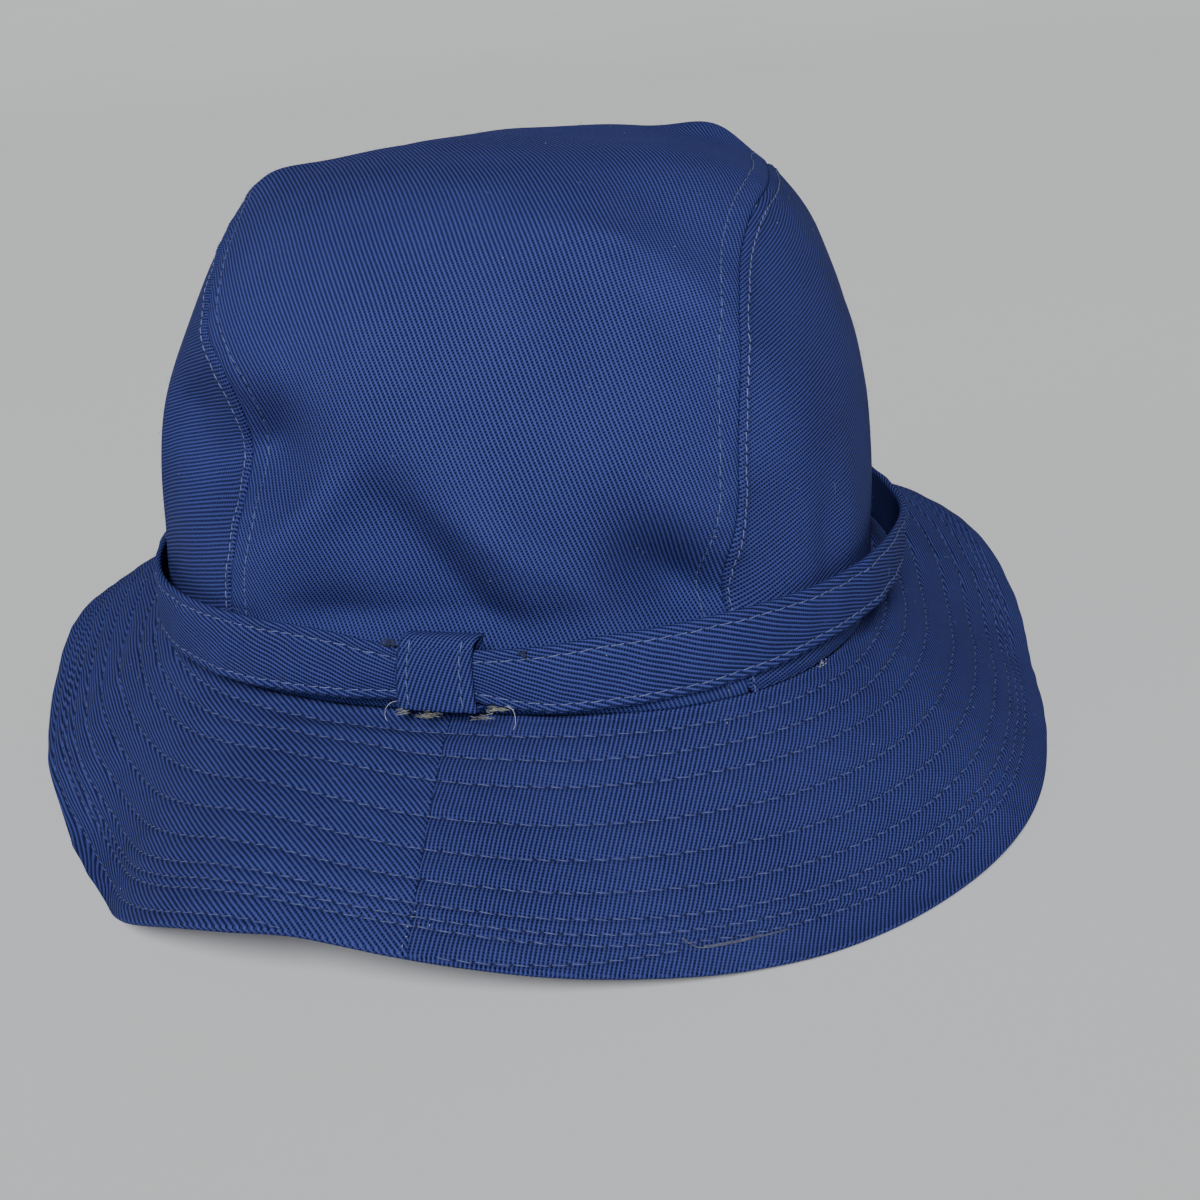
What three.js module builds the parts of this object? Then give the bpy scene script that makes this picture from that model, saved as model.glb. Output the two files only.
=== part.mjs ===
// Bucket-style sun hat of cotton twill, as it rests on a level surface.
// Millimetres, +Z up, the surface at z = 0, the hat's back with the band keeper towards -Y.
//
// The crown is a centre strip that runs from the back over the top to the front, with a D-shaped panel on each
// side. The brim is two half rings joined at the back and at the front. A loose band lies round the foot of the
// crown and passes through a keeper loop at the back.
//
// The crown is worked out above the level of its own foot (height 0), with azimuth 0 at the back and +90 at the
// right. settle() then leans the whole hat a little, so that the low places of the brim meet the surface.

import * as THREE from 'three';
import { mergeVertices } from 'three/addons/utils/BufferGeometryUtils.js';

// Cloth thicknesses, and the gap that sewn pieces keep
const CROWN_CLOTH = 1.2;
const BRIM_CLOTH = 2.0;
const BAND_CLOTH = 1.5;
const KEEPER_CLOTH = 1.2;
const GAP = 0.3;

// Crown: an oval section, squarer at the foot, that closes over the shoulder
const CROWN_HALF_WIDTH = 86;
const CROWN_HALF_DEPTH = 89.5;
const CROWN_HEIGHT = 103.2;
const SHOULDER_RISE = 2.8;
const SHOULDER_TURN = 3.8;
const FOOT_SQUARENESS = 2.68;
const TOP_SQUARENESS = 2.35;
const FOOT_TWIST = 0.049;
const CROWN_LEAN = 0.048;
const FOLD_REACH = 25;

// Seams of the centre strip: degrees over the crown from the back foot, and each seam's distance from the middle
const SEAMS = [
  { turn: 0, left: -50, right: 61 },
  { turn: 16, left: -48.5, right: 57.5 },
  { turn: 26, left: -44.7, right: 60 },
  { turn: 35, left: -43, right: 60 },
  { turn: 42, left: -45.4, right: 60 },
  { turn: 52, left: -52.4, right: 59.8 },
  { turn: 66, left: -54.8, right: 61 },
  { turn: 78, left: -55.5, right: 63.7 },
  { turn: 90, left: -56, right: 64 },
  { turn: 135, left: -54, right: 60 },
  { turn: 180, left: -50, right: 56 },
];

// Dents (negative depth) and swellings of the crown: middle, half lengths along and across, turn and depth
const FOLDS = [
  { azimuth: -2, height: 41, along: 19, across: 8, turn: -42, depth: -3 },
  { azimuth: -25, height: 62, along: 12, across: 14, turn: 0, depth: -3 },
  { azimuth: 28, height: 30, along: 19, across: 7, turn: -50, depth: -3 },
  { azimuth: 26, height: 80, along: 18, across: 8, turn: -70, depth: 2 },
  { azimuth: 42, height: 90, along: 16, across: 12, turn: -60, depth: -2.5 },
  { azimuth: 53, height: 27, along: 15, across: 7, turn: 80, depth: -2 },
  { azimuth: -67, height: 73, along: 24, across: 18, turn: 0, depth: -2.8 },
  { azimuth: 91, height: 68, along: 22, across: 16, turn: 0, depth: -1.5 },
  { azimuth: -78, height: 96, along: 14, across: 9, turn: 0, depth: 3 },
  { azimuth: -125, height: 102, along: 20, across: 14, turn: 0, depth: -2 },
  { azimuth: 116, height: 99, along: 9, across: 9, turn: 0, depth: 3.2 },
];

// Brim: even width, with its own slope below level at each azimuth
const BRIM_WIDTH = 53.5;
const BRIM_BEND = 10;
const BRIM_SLOPES = [
  { azimuth: -180, slope: 47 },
  { azimuth: -155, slope: 48.5 },
  { azimuth: -130, slope: 39 },
  { azimuth: -110, slope: 27.5 },
  { azimuth: -95, slope: 27.5 },
  { azimuth: -80, slope: 38 },
  { azimuth: -65, slope: 46 },
  { azimuth: -50, slope: 55.5 },
  { azimuth: -40, slope: 52.5 },
  { azimuth: -30, slope: 39.5 },
  { azimuth: -15, slope: 24.5 },
  { azimuth: 0, slope: 28 },
  { azimuth: 15, slope: 39 },
  { azimuth: 30, slope: 47 },
  { azimuth: 45, slope: 47.5 },
  { azimuth: 60, slope: 40.5 },
  { azimuth: 75, slope: 39 },
  { azimuth: 90, slope: 37 },
  { azimuth: 105, slope: 29 },
  { azimuth: 120, slope: 21 },
  { azimuth: 140, slope: 19 },
  { azimuth: 160, slope: 31 },
  { azimuth: 180, slope: 47 },
];

// Band: heights of its edges above the crown's foot, and how far it stands off the crown
const BAND = [
  { azimuth: -180, bottom: 2, top: 16.5, stand: 0.8 },
  { azimuth: -120, bottom: 2, top: 16, stand: 0.8 },
  { azimuth: -90, bottom: 2, top: 16.5, stand: 0.9 },
  { azimuth: -60, bottom: 1.8, top: 17.5, stand: 1.5 },
  { azimuth: -40, bottom: 1.8, top: 18.5, stand: 1.4 },
  { azimuth: -25, bottom: 2, top: 18, stand: 1 },
  { azimuth: -10, bottom: 2.4, top: 16, stand: 1.8 },
  { azimuth: 0, bottom: 2.6, top: 15.2, stand: 1.9 },
  { azimuth: 9, bottom: 2.6, top: 15.8, stand: 1.8 },
  { azimuth: 20, bottom: 3, top: 18, stand: 0.8 },
  { azimuth: 35, bottom: 4.2, top: 19.5, stand: 0.6 },
  { azimuth: 50, bottom: 6, top: 19, stand: 1 },
  { azimuth: 65, bottom: 6.2, top: 19, stand: 4 },
  { azimuth: 80, bottom: 5, top: 18, stand: 6.5 },
  { azimuth: 95, bottom: 3.5, top: 16, stand: 5.5 },
  { azimuth: 115, bottom: 2, top: 14.5, stand: 2.5 },
  { azimuth: 150, bottom: 2, top: 15.5, stand: 0.8 },
  { azimuth: 180, bottom: 2, top: 16.5, stand: 0.8 },
];

// Keeper: a flat loop round the band
const KEEPER_AZIMUTH = -0.9;
const KEEPER_WIDTH = 16.5;
const KEEPER_BOTTOM = 0.5;
const KEEPER_TOP = 18;
const KEEPER_STAND = 0.3;
const KEEPER_DEPTH = 4.7;
const KEEPER_CORNER = 1.7;

// How the hat rests: the surface seen from the crown, and the middle of the hat's box
const REST_DROP = 39.7;
const REST_ROLL = 0.0255;
const REST_PITCH = 0.0164;
const REST_THIN = 0.8;
const MIDDLE_X = -3.34;
const MIDDLE_Y = -4.56;

// Facets
const CROWN_TURNS = 40;
const STRIP_COLUMNS = 14;
const SIDE_COLUMNS = 8;
const BRIM_STEPS = 40;
const BRIM_SHARES = [0, 0.1, 0.24, 0.4, 0.56, 0.72, 0.86, 0.955, 1];
const BAND_STEPS = 80;
const BAND_LEVELS = [0, 0.5, 1];
const KEEPER_COLUMNS = 3;
const CORNER_STEPS = 3;
const BRIM_RUNS = 12;

// Searches and welds
const HALVINGS = 44;
const SEAM_SEARCH = 80;
const FORM_STEP = 0.05;
const RAY_STEP = 0.004;
const WELD_DISTANCE = 1e-3;

const DEGREE = Math.PI / 180;
const FULL_TURN = 360;
const HALF_TURN = 180;
const POLE_SIDE = 90;
const UP = new THREE.Vector3(0, 0, 1);

// Smooth curve through one column of a table, read at x
function readTable(rows, key, column, x, closed = false) {
  const stations = rows.map((row) => [row[key], row[column]]);
  if (closed) {
    const before = stations.at(-2);
    const after = stations[1];
    stations.unshift([before[0] - FULL_TURN, before[1]]);
    stations.push([after[0] + FULL_TURN, after[1]]);
  }
  const last = stations.length - 1;
  const slope = (i) => {
    const a = stations[Math.max(i - 1, 0)];
    const b = stations[Math.min(i + 1, last)];
    return (b[1] - a[1]) / (b[0] - a[0]);
  };
  let i = 0;
  while (i < last - 1 && x > stations[i + 1][0]) i += 1;
  const [x0, y0] = stations[i];
  const [x1, y1] = stations[i + 1];
  const width = x1 - x0;
  const t = THREE.MathUtils.clamp((x - x0) / width, 0, 1);
  const rise = t * t * (3 - 2 * t);
  const start = t * (1 - t) * (1 - t) * width * slope(i);
  const end = t * t * (t - 1) * width * slope(i + 1);
  return y0 + (y1 - y0) * rise + start + end;
}

// Radius of the crown's section at an azimuth in radians and a height
function crownReach(azimuth, height) {
  const rise = THREE.MathUtils.clamp(height / CROWN_HEIGHT, 0, 1);
  const cap = (1 - rise ** SHOULDER_RISE) ** (1 / SHOULDER_TURN);
  const n = THREE.MathUtils.lerp(FOOT_SQUARENESS, TOP_SQUARENESS, rise);
  const across = Math.abs(Math.sin(azimuth)) / CROWN_HALF_WIDTH;
  const deep = Math.abs(Math.cos(azimuth)) / CROWN_HALF_DEPTH;
  const oval = (across ** n + deep ** n) ** (-1 / n);
  return cap * oval * (1 + FOOT_TWIST * (1 - rise) * Math.sin(2 * azimuth));
}

// How far a point lies outside the crown's plain form, measured level
function crownExcess(point) {
  const x = point.x - CROWN_LEAN * point.z;
  return Math.hypot(x, point.y) - crownReach(Math.atan2(x, -point.y), point.z);
}

// Outward direction of the plain form near a point
function formNormal(point) {
  const slope = (axis) => {
    const ahead = point.clone();
    const behind = point.clone();
    ahead[axis] += FORM_STEP;
    behind[axis] -= FORM_STEP;
    return crownExcess(ahead) - crownExcess(behind);
  };
  return new THREE.Vector3(slope('x'), slope('y'), slope('z')).normalize();
}

// Where a ray from the middle of the crown's foot leaves the plain form
function formPoint(ray) {
  let inside = 0;
  let outside = 2 * CROWN_HEIGHT;
  for (let i = 0; i < HALVINGS; i += 1) {
    const middle = (inside + outside) / 2;
    if (crownExcess(ray.clone().multiplyScalar(middle)) > 0) outside = middle;
    else inside = middle;
  }
  return ray.clone().multiplyScalar(inside);
}

// Point of the plain form at an azimuth in degrees and a height
function formPlace(azimuth, height) {
  const radius = crownReach(azimuth * DEGREE, height);
  const x = radius * Math.sin(azimuth * DEGREE) + CROWN_LEAN * height;
  return new THREE.Vector3(x, -radius * Math.cos(azimuth * DEGREE), height);
}

// Each fold's middle and its own axes on the crown
const foldFrames = FOLDS.map((fold) => {
  const middle = formPlace(fold.azimuth, fold.height);
  const normal = formNormal(middle);
  const along = UP.clone().cross(normal).normalize().applyAxisAngle(normal, fold.turn * DEGREE);
  const across = normal.clone().cross(along);
  return { ...fold, middle, normal, alongAxis: along, acrossAxis: across };
});

// Point of the folded crown on a ray
function crownPoint(ray) {
  const point = formPoint(ray);
  let depth = 0;
  for (const fold of foldFrames) {
    const offset = point.clone().sub(fold.middle);
    const along = offset.dot(fold.alongAxis) / fold.along;
    const across = offset.dot(fold.acrossAxis) / fold.across;
    const through = offset.dot(fold.normal) / FOLD_REACH;
    depth += fold.depth * Math.exp(-(along ** 2) - across ** 2 - through ** 2);
  }
  return point.addScaledVector(formNormal(point), depth);
}

// Ray over the crown: turn runs from the back foot over the top, side from left to right, both in degrees
function crownRay(turn, side) {
  const level = Math.cos(side * DEGREE);
  const y = -level * Math.cos(turn * DEGREE);
  return new THREE.Vector3(Math.sin(side * DEGREE), y, level * Math.sin(turn * DEGREE));
}

// Outward direction of the folded crown on a ray
function crownNormal(ray) {
  const first = new THREE.Vector3(-ray.y, ray.x, 0);
  if (first.lengthSq() < RAY_STEP) first.set(1, 0, 0);
  first.normalize();
  const second = ray.clone().cross(first);
  const change = (axis) => {
    const ahead = crownPoint(ray.clone().addScaledVector(axis, RAY_STEP).normalize());
    const behind = crownPoint(ray.clone().addScaledVector(axis, -RAY_STEP).normalize());
    return ahead.sub(behind);
  };
  const normal = change(first).cross(change(second)).normalize();
  return normal.dot(ray) < 0 ? normal.negate() : normal;
}

// Side angle at which one of the strip's seams lies, for a turn over the crown
function seamSide(turn, column) {
  const goal = readTable(SEAMS, 'turn', column, turn);
  let low = -SEAM_SEARCH;
  let high = SEAM_SEARCH;
  for (let i = 0; i < HALVINGS; i += 1) {
    const middle = (low + high) / 2;
    if (formPoint(crownRay(turn, middle)).x > goal) high = middle;
    else low = middle;
  }
  return low;
}

// The hat leaned onto its surface
const restNormal = new THREE.Vector3(-REST_ROLL, -REST_PITCH, 1).normalize();
const restTurn = new THREE.Quaternion().setFromUnitVectors(restNormal, UP);
const restLift = REST_DROP * restNormal.z;

function settle(point) {
  point.applyQuaternion(restTurn);
  return point.set(point.x - MIDDLE_X, point.y - MIDDLE_Y, point.z + restLift);
}

// Closed solid from two grids of points: outer face, inner face and the walls round the border.
// A ring's last row joins its first. Grids may close to a point along a border.
function clothSolid(outer, inner, ring = false) {
  const corners = [];
  const face = (a, b, c, d) => corners.push(a, b, c, a, c, d);
  const rows = outer.length;
  const columns = outer[0].length;
  for (let r = 0; r < (ring ? rows : rows - 1); r += 1) {
    const next = (r + 1) % rows;
    for (let c = 0; c < columns - 1; c += 1) {
      face(outer[r][c], outer[next][c], outer[next][c + 1], outer[r][c + 1]);
      face(inner[r][c], inner[r][c + 1], inner[next][c + 1], inner[next][c]);
    }
    const end = columns - 1;
    face(outer[next][0], outer[r][0], inner[r][0], inner[next][0]);
    face(outer[r][end], outer[next][end], inner[next][end], inner[r][end]);
  }
  for (let c = 0; c < columns - 1 && !ring; c += 1) {
    const end = rows - 1;
    face(outer[0][c], outer[0][c + 1], inner[0][c + 1], inner[0][c]);
    face(outer[end][c + 1], outer[end][c], inner[end][c], inner[end][c + 1]);
  }
  return weld(corners);
}

// Indexed geometry from loose triangle corners, without collapsed triangles and with its faces turned outward
function weld(corners) {
  const loose = new THREE.BufferGeometry().setFromPoints(corners);
  const merged = mergeVertices(loose, WELD_DISTANCE);
  const place = merged.getAttribute('position');
  const vertex = (i) => new THREE.Vector3().fromBufferAttribute(place, i);
  const index = [];
  let volume = 0;
  for (let i = 0; i < merged.index.count; i += 3) {
    const [a, b, c] = [0, 1, 2].map((k) => merged.index.getX(i + k));
    if (a === b || b === c || c === a) continue;
    volume += vertex(a).dot(vertex(b).cross(vertex(c)));
    index.push(a, b, c);
  }
  if (volume < 0) index.reverse();
  merged.setIndex(index);
  merged.computeVertexNormals();
  return merged;
}

const steps = (count) => Array.from({ length: count + 1 }, (_, i) => i / count);

// One crown panel between two side angles, each a function of the turn over the crown
function crownPanel(columns, fromSide, toSide) {
  const outer = [];
  const inner = [];
  for (const share of steps(CROWN_TURNS)) {
    const turn = HALF_TURN * share;
    const foot = share === 0 || share === 1;
    const start = fromSide(turn);
    const end = toSide(turn);
    const rays = steps(columns).map((s) => crownRay(turn, THREE.MathUtils.lerp(start, end, s)));
    const outerRow = rays.map((ray) => crownPoint(ray));
    const innerRow = rays.map((ray, i) => outerRow[i].clone().addScaledVector(crownNormal(ray), -CROWN_CLOTH));
    for (const point of foot ? [...outerRow, ...innerRow] : []) point.z = 0;
    outer.push(outerRow.map(settle));
    inner.push(innerRow.map(settle));
  }
  return clothSolid(outer, inner);
}

// Half of the gap at a seam, as an angle seen from the middle of the foot
const seamHalfGap = GAP / 2 / CROWN_HALF_WIDTH / DEGREE;

function crownCenter() {
  const left = (turn) => seamSide(turn, 'left') + seamHalfGap;
  const right = (turn) => seamSide(turn, 'right') - seamHalfGap;
  return crownPanel(STRIP_COLUMNS, left, right);
}

function crownSideLeft() {
  return crownPanel(SIDE_COLUMNS, () => -POLE_SIDE, (turn) => seamSide(turn, 'left') - seamHalfGap);
}

function crownSideRight() {
  return crownPanel(SIDE_COLUMNS, (turn) => seamSide(turn, 'right') + seamHalfGap, () => POLE_SIDE);
}

// Upper and lower point of the brim's wall at an azimuth and a share of its width
function brimWall(azimuth, share) {
  const angle = azimuth * DEGREE;
  const slope = readTable(BRIM_SLOPES, 'azimuth', 'slope', azimuth, true);
  const slopeAt = (s) => (slope + BRIM_BEND * (2 * s - 1)) * DEGREE;
  let radius = crownReach(angle, 0) - CROWN_CLOTH;
  let height = -GAP - (BRIM_CLOTH / 2) * Math.cos(slopeAt(0));
  for (let i = 0; i < BRIM_RUNS; i += 1) {
    const run = (THREE.MathUtils.clamp(share * BRIM_RUNS - i, 0, 1) * (BRIM_WIDTH + CROWN_CLOTH)) / BRIM_RUNS;
    radius += run * Math.cos(slopeAt((i + 0.5) / BRIM_RUNS));
    height -= run * Math.sin(slopeAt((i + 0.5) / BRIM_RUNS));
  }
  const wall = (side, spread) => {
    const r = radius + side * Math.sin(slopeAt(share)) + spread;
    const z = height + side * Math.cos(slopeAt(share));
    return settle(new THREE.Vector3(r * Math.sin(angle), -r * Math.cos(angle), z));
  };
  const sunk = Math.max(-wall(-BRIM_CLOTH / 2, 0).z, 0);
  const spread = sunk * Math.tan(slopeAt(share) / 2);
  const upper = wall(BRIM_CLOTH / 2, spread);
  const lower = wall(-BRIM_CLOTH / 2, spread);
  lower.z = Math.max(lower.z, 0);
  upper.z = Math.max(upper.z, lower.z + REST_THIN);
  return { upper, lower };
}

// Half of the brim, from one azimuth to another
function brimHalf(fromAzimuth, toAzimuth) {
  const rows = steps(BRIM_STEPS).map((s) => {
    const azimuth = THREE.MathUtils.lerp(fromAzimuth + seamHalfGap, toAzimuth - seamHalfGap, s);
    return BRIM_SHARES.map((share) => brimWall(azimuth, share));
  });
  const upper = rows.map((row) => row.map((wall) => wall.upper));
  const lower = rows.map((row) => row.map((wall) => wall.lower));
  return clothSolid(upper, lower);
}

// Point at a distance outside the crown's plain form, level with a height
function besideCrown(azimuth, height, distance) {
  const angle = azimuth * DEGREE;
  const radius = crownReach(angle, height) + distance;
  const x = radius * Math.sin(angle) + CROWN_LEAN * height;
  return settle(new THREE.Vector3(x, -radius * Math.cos(angle), height));
}

function band() {
  const outer = [];
  const inner = [];
  for (let i = 0; i < BAND_STEPS; i += 1) {
    const azimuth = (i / BAND_STEPS - 0.5) * FULL_TURN;
    const read = (column) => readTable(BAND, 'azimuth', column, azimuth, true);
    const heights = BAND_LEVELS.map((level) => THREE.MathUtils.lerp(read('bottom'), read('top'), level));
    outer.push(heights.map((height) => besideCrown(azimuth, height, read('stand') + BAND_CLOTH)));
    inner.push(heights.map((height) => besideCrown(azimuth, height, read('stand'))));
  }
  return clothSolid(outer, inner, true);
}

// Rounded rectangle in the plane of distance from the crown and height, shrunk by an inset
function keeperOutline(inset) {
  const near = KEEPER_STAND + inset;
  const far = KEEPER_STAND + KEEPER_DEPTH - inset;
  const low = KEEPER_BOTTOM + inset;
  const high = KEEPER_TOP - inset;
  const radius = KEEPER_CORNER - inset;
  const corners = [
    { distance: far - radius, height: low + radius, start: -90 },
    { distance: far - radius, height: high - radius, start: 0 },
    { distance: near + radius, height: high - radius, start: 90 },
    { distance: near + radius, height: low + radius, start: 180 },
  ];
  return corners.flatMap(({ distance, height, start }) => steps(CORNER_STEPS).map((s) => {
    const angle = (start + 90 * s) * DEGREE;
    return { distance: distance + radius * Math.cos(angle), height: height + radius * Math.sin(angle) };
  }));
}

function bandKeeper() {
  const halfAngle = KEEPER_WIDTH / 2 / CROWN_HALF_DEPTH / DEGREE;
  const azimuths = steps(KEEPER_COLUMNS).map((s) => KEEPER_AZIMUTH + halfAngle * (2 * s - 1));
  const grid = (inset) => keeperOutline(inset).map(({ distance, height }) => (
    azimuths.map((azimuth) => besideCrown(azimuth, height, distance))
  ));
  return clothSolid(grid(0), grid(KEEPER_CLOTH), true);
}

const NAVY = 0x2a3f72;
const NAVY_BAND = 0x2b3f72;

// Named mesh with its own cloth material
function clothMesh(name, geometry, color) {
  const material = new THREE.MeshStandardMaterial({ color, roughness: 0.9, metalness: 0 });
  const mesh = new THREE.Mesh(geometry, material);
  mesh.name = name;
  return mesh;
}

const hat = new THREE.Group();
hat.name = 'sun_hat';
hat.add(
  clothMesh('crown_center', crownCenter(), NAVY),
  clothMesh('crown_side_left', crownSideLeft(), NAVY),
  clothMesh('crown_side_right', crownSideRight(), NAVY),
  clothMesh('brim_left', brimHalf(-HALF_TURN, 0), NAVY),
  clothMesh('brim_right', brimHalf(0, HALF_TURN), NAVY),
  clothMesh('band', band(), NAVY_BAND),
  clothMesh('band_keeper', bandKeeper(), NAVY_BAND),
);

export default hat;
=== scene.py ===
"""Bucket sun hat of navy cotton twill, resting on a pale floor.

Shapes are worked out in millimetres in the hat's own frame: height 0 at the crown's foot, azimuth 0 at the
back with the keeper, +90 at the right. settle() leans the hat onto the floor, and meshes are in metres.
"""
import math

import bpy
import numpy as np
from mathutils import Matrix, Vector


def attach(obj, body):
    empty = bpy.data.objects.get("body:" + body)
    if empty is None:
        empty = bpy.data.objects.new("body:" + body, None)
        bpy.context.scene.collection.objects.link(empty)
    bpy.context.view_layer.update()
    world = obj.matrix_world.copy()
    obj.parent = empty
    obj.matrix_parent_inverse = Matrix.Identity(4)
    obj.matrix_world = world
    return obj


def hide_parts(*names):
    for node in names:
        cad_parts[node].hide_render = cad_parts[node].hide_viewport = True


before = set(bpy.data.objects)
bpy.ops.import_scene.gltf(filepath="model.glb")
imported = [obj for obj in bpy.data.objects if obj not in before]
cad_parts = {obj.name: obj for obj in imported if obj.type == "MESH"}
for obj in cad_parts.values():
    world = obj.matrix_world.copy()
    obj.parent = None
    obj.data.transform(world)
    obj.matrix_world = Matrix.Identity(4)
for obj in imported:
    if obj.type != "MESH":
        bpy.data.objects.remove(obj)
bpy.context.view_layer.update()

MM = 0.001
FULL_TURN = 360.0


def table(columns, *rows):
    """A table with named columns, as one array for each column."""
    return {name: np.array([row[i] for row in rows], float) for i, name in enumerate(columns.split())}


# Cloth thicknesses
CROWN_CLOTH = 1.2
BRIM_CLOTH = 2.0
BAND_CLOTH = 1.5
KEEPER_CLOTH = 1.2
GAP = 0.3

# Crown: an oval section, squarer at the foot, that closes over the shoulder
CROWN_HALF_WIDTH = 86.0
CROWN_HALF_DEPTH = 89.5
CROWN_HEIGHT = 103.2
SHOULDER_RISE = 2.8
SHOULDER_TURN = 3.8
FOOT_SQUARENESS = 2.68
TOP_SQUARENESS = 2.35
FOOT_TWIST = 0.049
CROWN_LEAN = 0.048
FOLD_REACH = 25.0
FORM_STEP = 0.05

# Seams of the centre strip: degrees over the crown from the back foot, and each seam's place across
SEAMS = table(
    "turn left right",
    (0, -50, 61),
    (16, -48.5, 57.5),
    (26, -44.7, 60),
    (35, -43, 60),
    (42, -45.4, 60),
    (52, -52.4, 59.8),
    (66, -54.8, 61),
    (78, -55.5, 63.7),
    (90, -56, 64),
    (135, -54, 60),
    (180, -50, 56),
)

# Dents (negative depth) and swellings of the crown: middle, half lengths along and across, turn and depth
FOLDS = table(
    "azimuth height along across turn depth",
    (-2, 41, 19, 8, -42, -3),
    (-25, 62, 12, 14, 0, -3),
    (28, 30, 19, 7, -50, -3),
    (26, 80, 18, 8, -70, 2),
    (42, 90, 16, 12, -60, -2.5),
    (53, 27, 15, 7, 80, -2),
    (-67, 73, 24, 18, 0, -2.8),
    (91, 68, 22, 16, 0, -1.5),
    (-78, 96, 14, 9, 0, 3),
    (-125, 102, 20, 14, 0, -2),
    (116, 99, 9, 9, 0, 3.2),
)

# Creases and rises on top of the folds, with the same columns, pressed in along one direction. Their upper
# walls are steep and their lower ones gentle, and they fade out behind the band.
CREASES = table(
    "azimuth height along across turn depth",
    (-41.3, 57.7, 15, 8.8, 3.6, -14.5),
    (-27.2, 52.5, 10, 12, -63.8, -16),
    (-2.5, 32, 28, 7.4, -45.7, -12.5),
    (-24.3, 63.6, 7.7, 15, 55.1, 3.1),
    (28, 25.2, 16.2, 9, -34.7, -11.5),
    (26, 89.7, 5, 8.5, -119.3, 2.5),
    (30.2, 72.7, 28, 9, -59.5, -7.6),
    (14.7, 18.1, 20.6, 7.5, -72.1, -6.3),
    (-14.1, 16, 10.6, 15, 83.2, -10),
    (-51.7, 46.1, 12.8, 15, -10.5, -7.5),
    (17.1, 97, 28, 8.5, -14.8, 1.9),
    (41.5, 31.7, 13.4, 15, -59.1, -4.8),
    (-20.6, 40.8, 17.4, 3.5, 38.3, 3.1),
    (5.4, 34.6, 28, 5.5, -29.2, 3.1),
    (62, 44, 24, 9, 105, -4.5),
)
CREASE_SKEW = 2.0
CREASE_START = 4.0
CREASE_FULL = 22.0
PRESS = (0.214, -0.944, 0.252)

# Brim: even width, with its own slope below level at each azimuth
BRIM_WIDTH = 53.5
BRIM_BEND = 10.0
BRIM_RUNS = 12
BRIM_SLOPES = table(
    "azimuth slope",
    (-180, 47),
    (-155, 48.5),
    (-130, 39),
    (-110, 27.5),
    (-95, 27.5),
    (-80, 38),
    (-65, 46),
    (-50, 55.5),
    (-40, 52.5),
    (-30, 39.5),
    (-15, 24.5),
    (0, 28),
    (15, 39),
    (30, 47),
    (45, 47.5),
    (60, 40.5),
    (75, 39),
    (90, 37),
    (105, 29),
    (120, 21),
    (140, 19),
    (160, 31),
    (180, 47),
)

# Band: heights of its edges above the crown's foot, and how far it stands off the crown
BAND = table(
    "azimuth bottom top stand",
    (-180, 2, 16.5, 0.8),
    (-120, 2, 16, 0.8),
    (-90, 1.2, 16.5, 0.1),
    (-76, 1.1, 17, 0.3),
    (-60, 1.4, 17.5, 1.5),
    (-40, 2.5, 18.5, 2.3),
    (-25, 3, 18.8, 2.4),
    (-16, 3.5, 18.4, 2.7),
    (-10, 3.9, 16.8, 2.5),
    (-5, 4.3, 15.5, 1.9),
    (3.5, 4.3, 15.4, 1.9),
    (8, 3, 15.8, 1.9),
    (13, 1.9, 16.6, 1.7),
    (20, 2.4, 18.2, 1.2),
    (35, 4.2, 19.5, 0.6),
    (50, 6, 19, 1),
    (65, 6.2, 19, 4),
    (80, 5, 18, 6.5),
    (95, 3.5, 16, 5.5),
    (115, 2, 14.5, 2.5),
    (150, 2, 15.5, 0.8),
    (180, 2, 16.5, 0.8),
)

# Keeper: a flat loop round the band
KEEPER_AZIMUTH = -0.9
KEEPER_WIDTH = 16.5
KEEPER_BOTTOM = 2.2
KEEPER_TOP = 19.0
KEEPER_STAND = 0.3
KEEPER_DEPTH = 4.7

# How the hat rests: the surface seen from the crown, and the middle of the hat's box
REST_DROP = 39.7
REST_ROLL = 0.0255
REST_PITCH = 0.0164
REST_SOFT = 3.0
MIDDLE_X = -3.34
MIDDLE_Y = -4.56

# Seams of the crown: each side panel laps over the strip with a folded edge, stitched down in two rows
SEAM_GAP = 0.05
BRIM_SEAM_GAP = 0.02
SIDE_ROW = 2.2
SIDE_FOLD = 0.4
STRIP_ROW = 4.6
STRIP_RISE = 0.15
STRIP_GROOVE = 0.3
ROW_GROOVE = 0.15
ROW_GROOVE_HALF = 0.5
FOOT_TUCK = 0.6

# Brim stitching: one spiral, by the share of the brim's width at which it passes the back at each turn.
# It runs off the edge left of the back seam, and comes back right of the seam.
SPIRAL = table(
    "turn share",
    (-1, 0.02),
    (0, 0.09),
    (1, 0.2),
    (2, 0.31),
    (3, 0.46),
    (4, 0.59),
    (5, 0.705),
    (6, 0.795),
    (7, 0.845),
    (8, 0.88),
    (8.96, 0.958),
    (8.98, 0.982),
    (9, 0.982),
    (9.02, 0.967),
    (9.055, 0.912),
    (9.07, 0.89),
)
SPIRAL_RUNS = ((-0.45, 8.972), (9.006, 9.061))
SPIRAL_TURNS = range(-1, 10)

# How far the rows wander from the even spiral at each azimuth, most at the middle of the width
ROW_SHIFT = table(
    "azimuth shift",
    (-180, 0),
    (-90, 0),
    (-45, -0.05),
    (-22, -0.055),
    (-16, -0.03),
    (-4, 0.012),
    (7, 0),
    (21, -0.043),
    (32, -0.065),
    (60, -0.05),
    (110, 0),
    (180, 0),
)
BRIM_ROW_GROOVE = 0.55
BRIM_GROOVE_HALF = 0.45
BRIM_PUFF = 0.28

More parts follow.
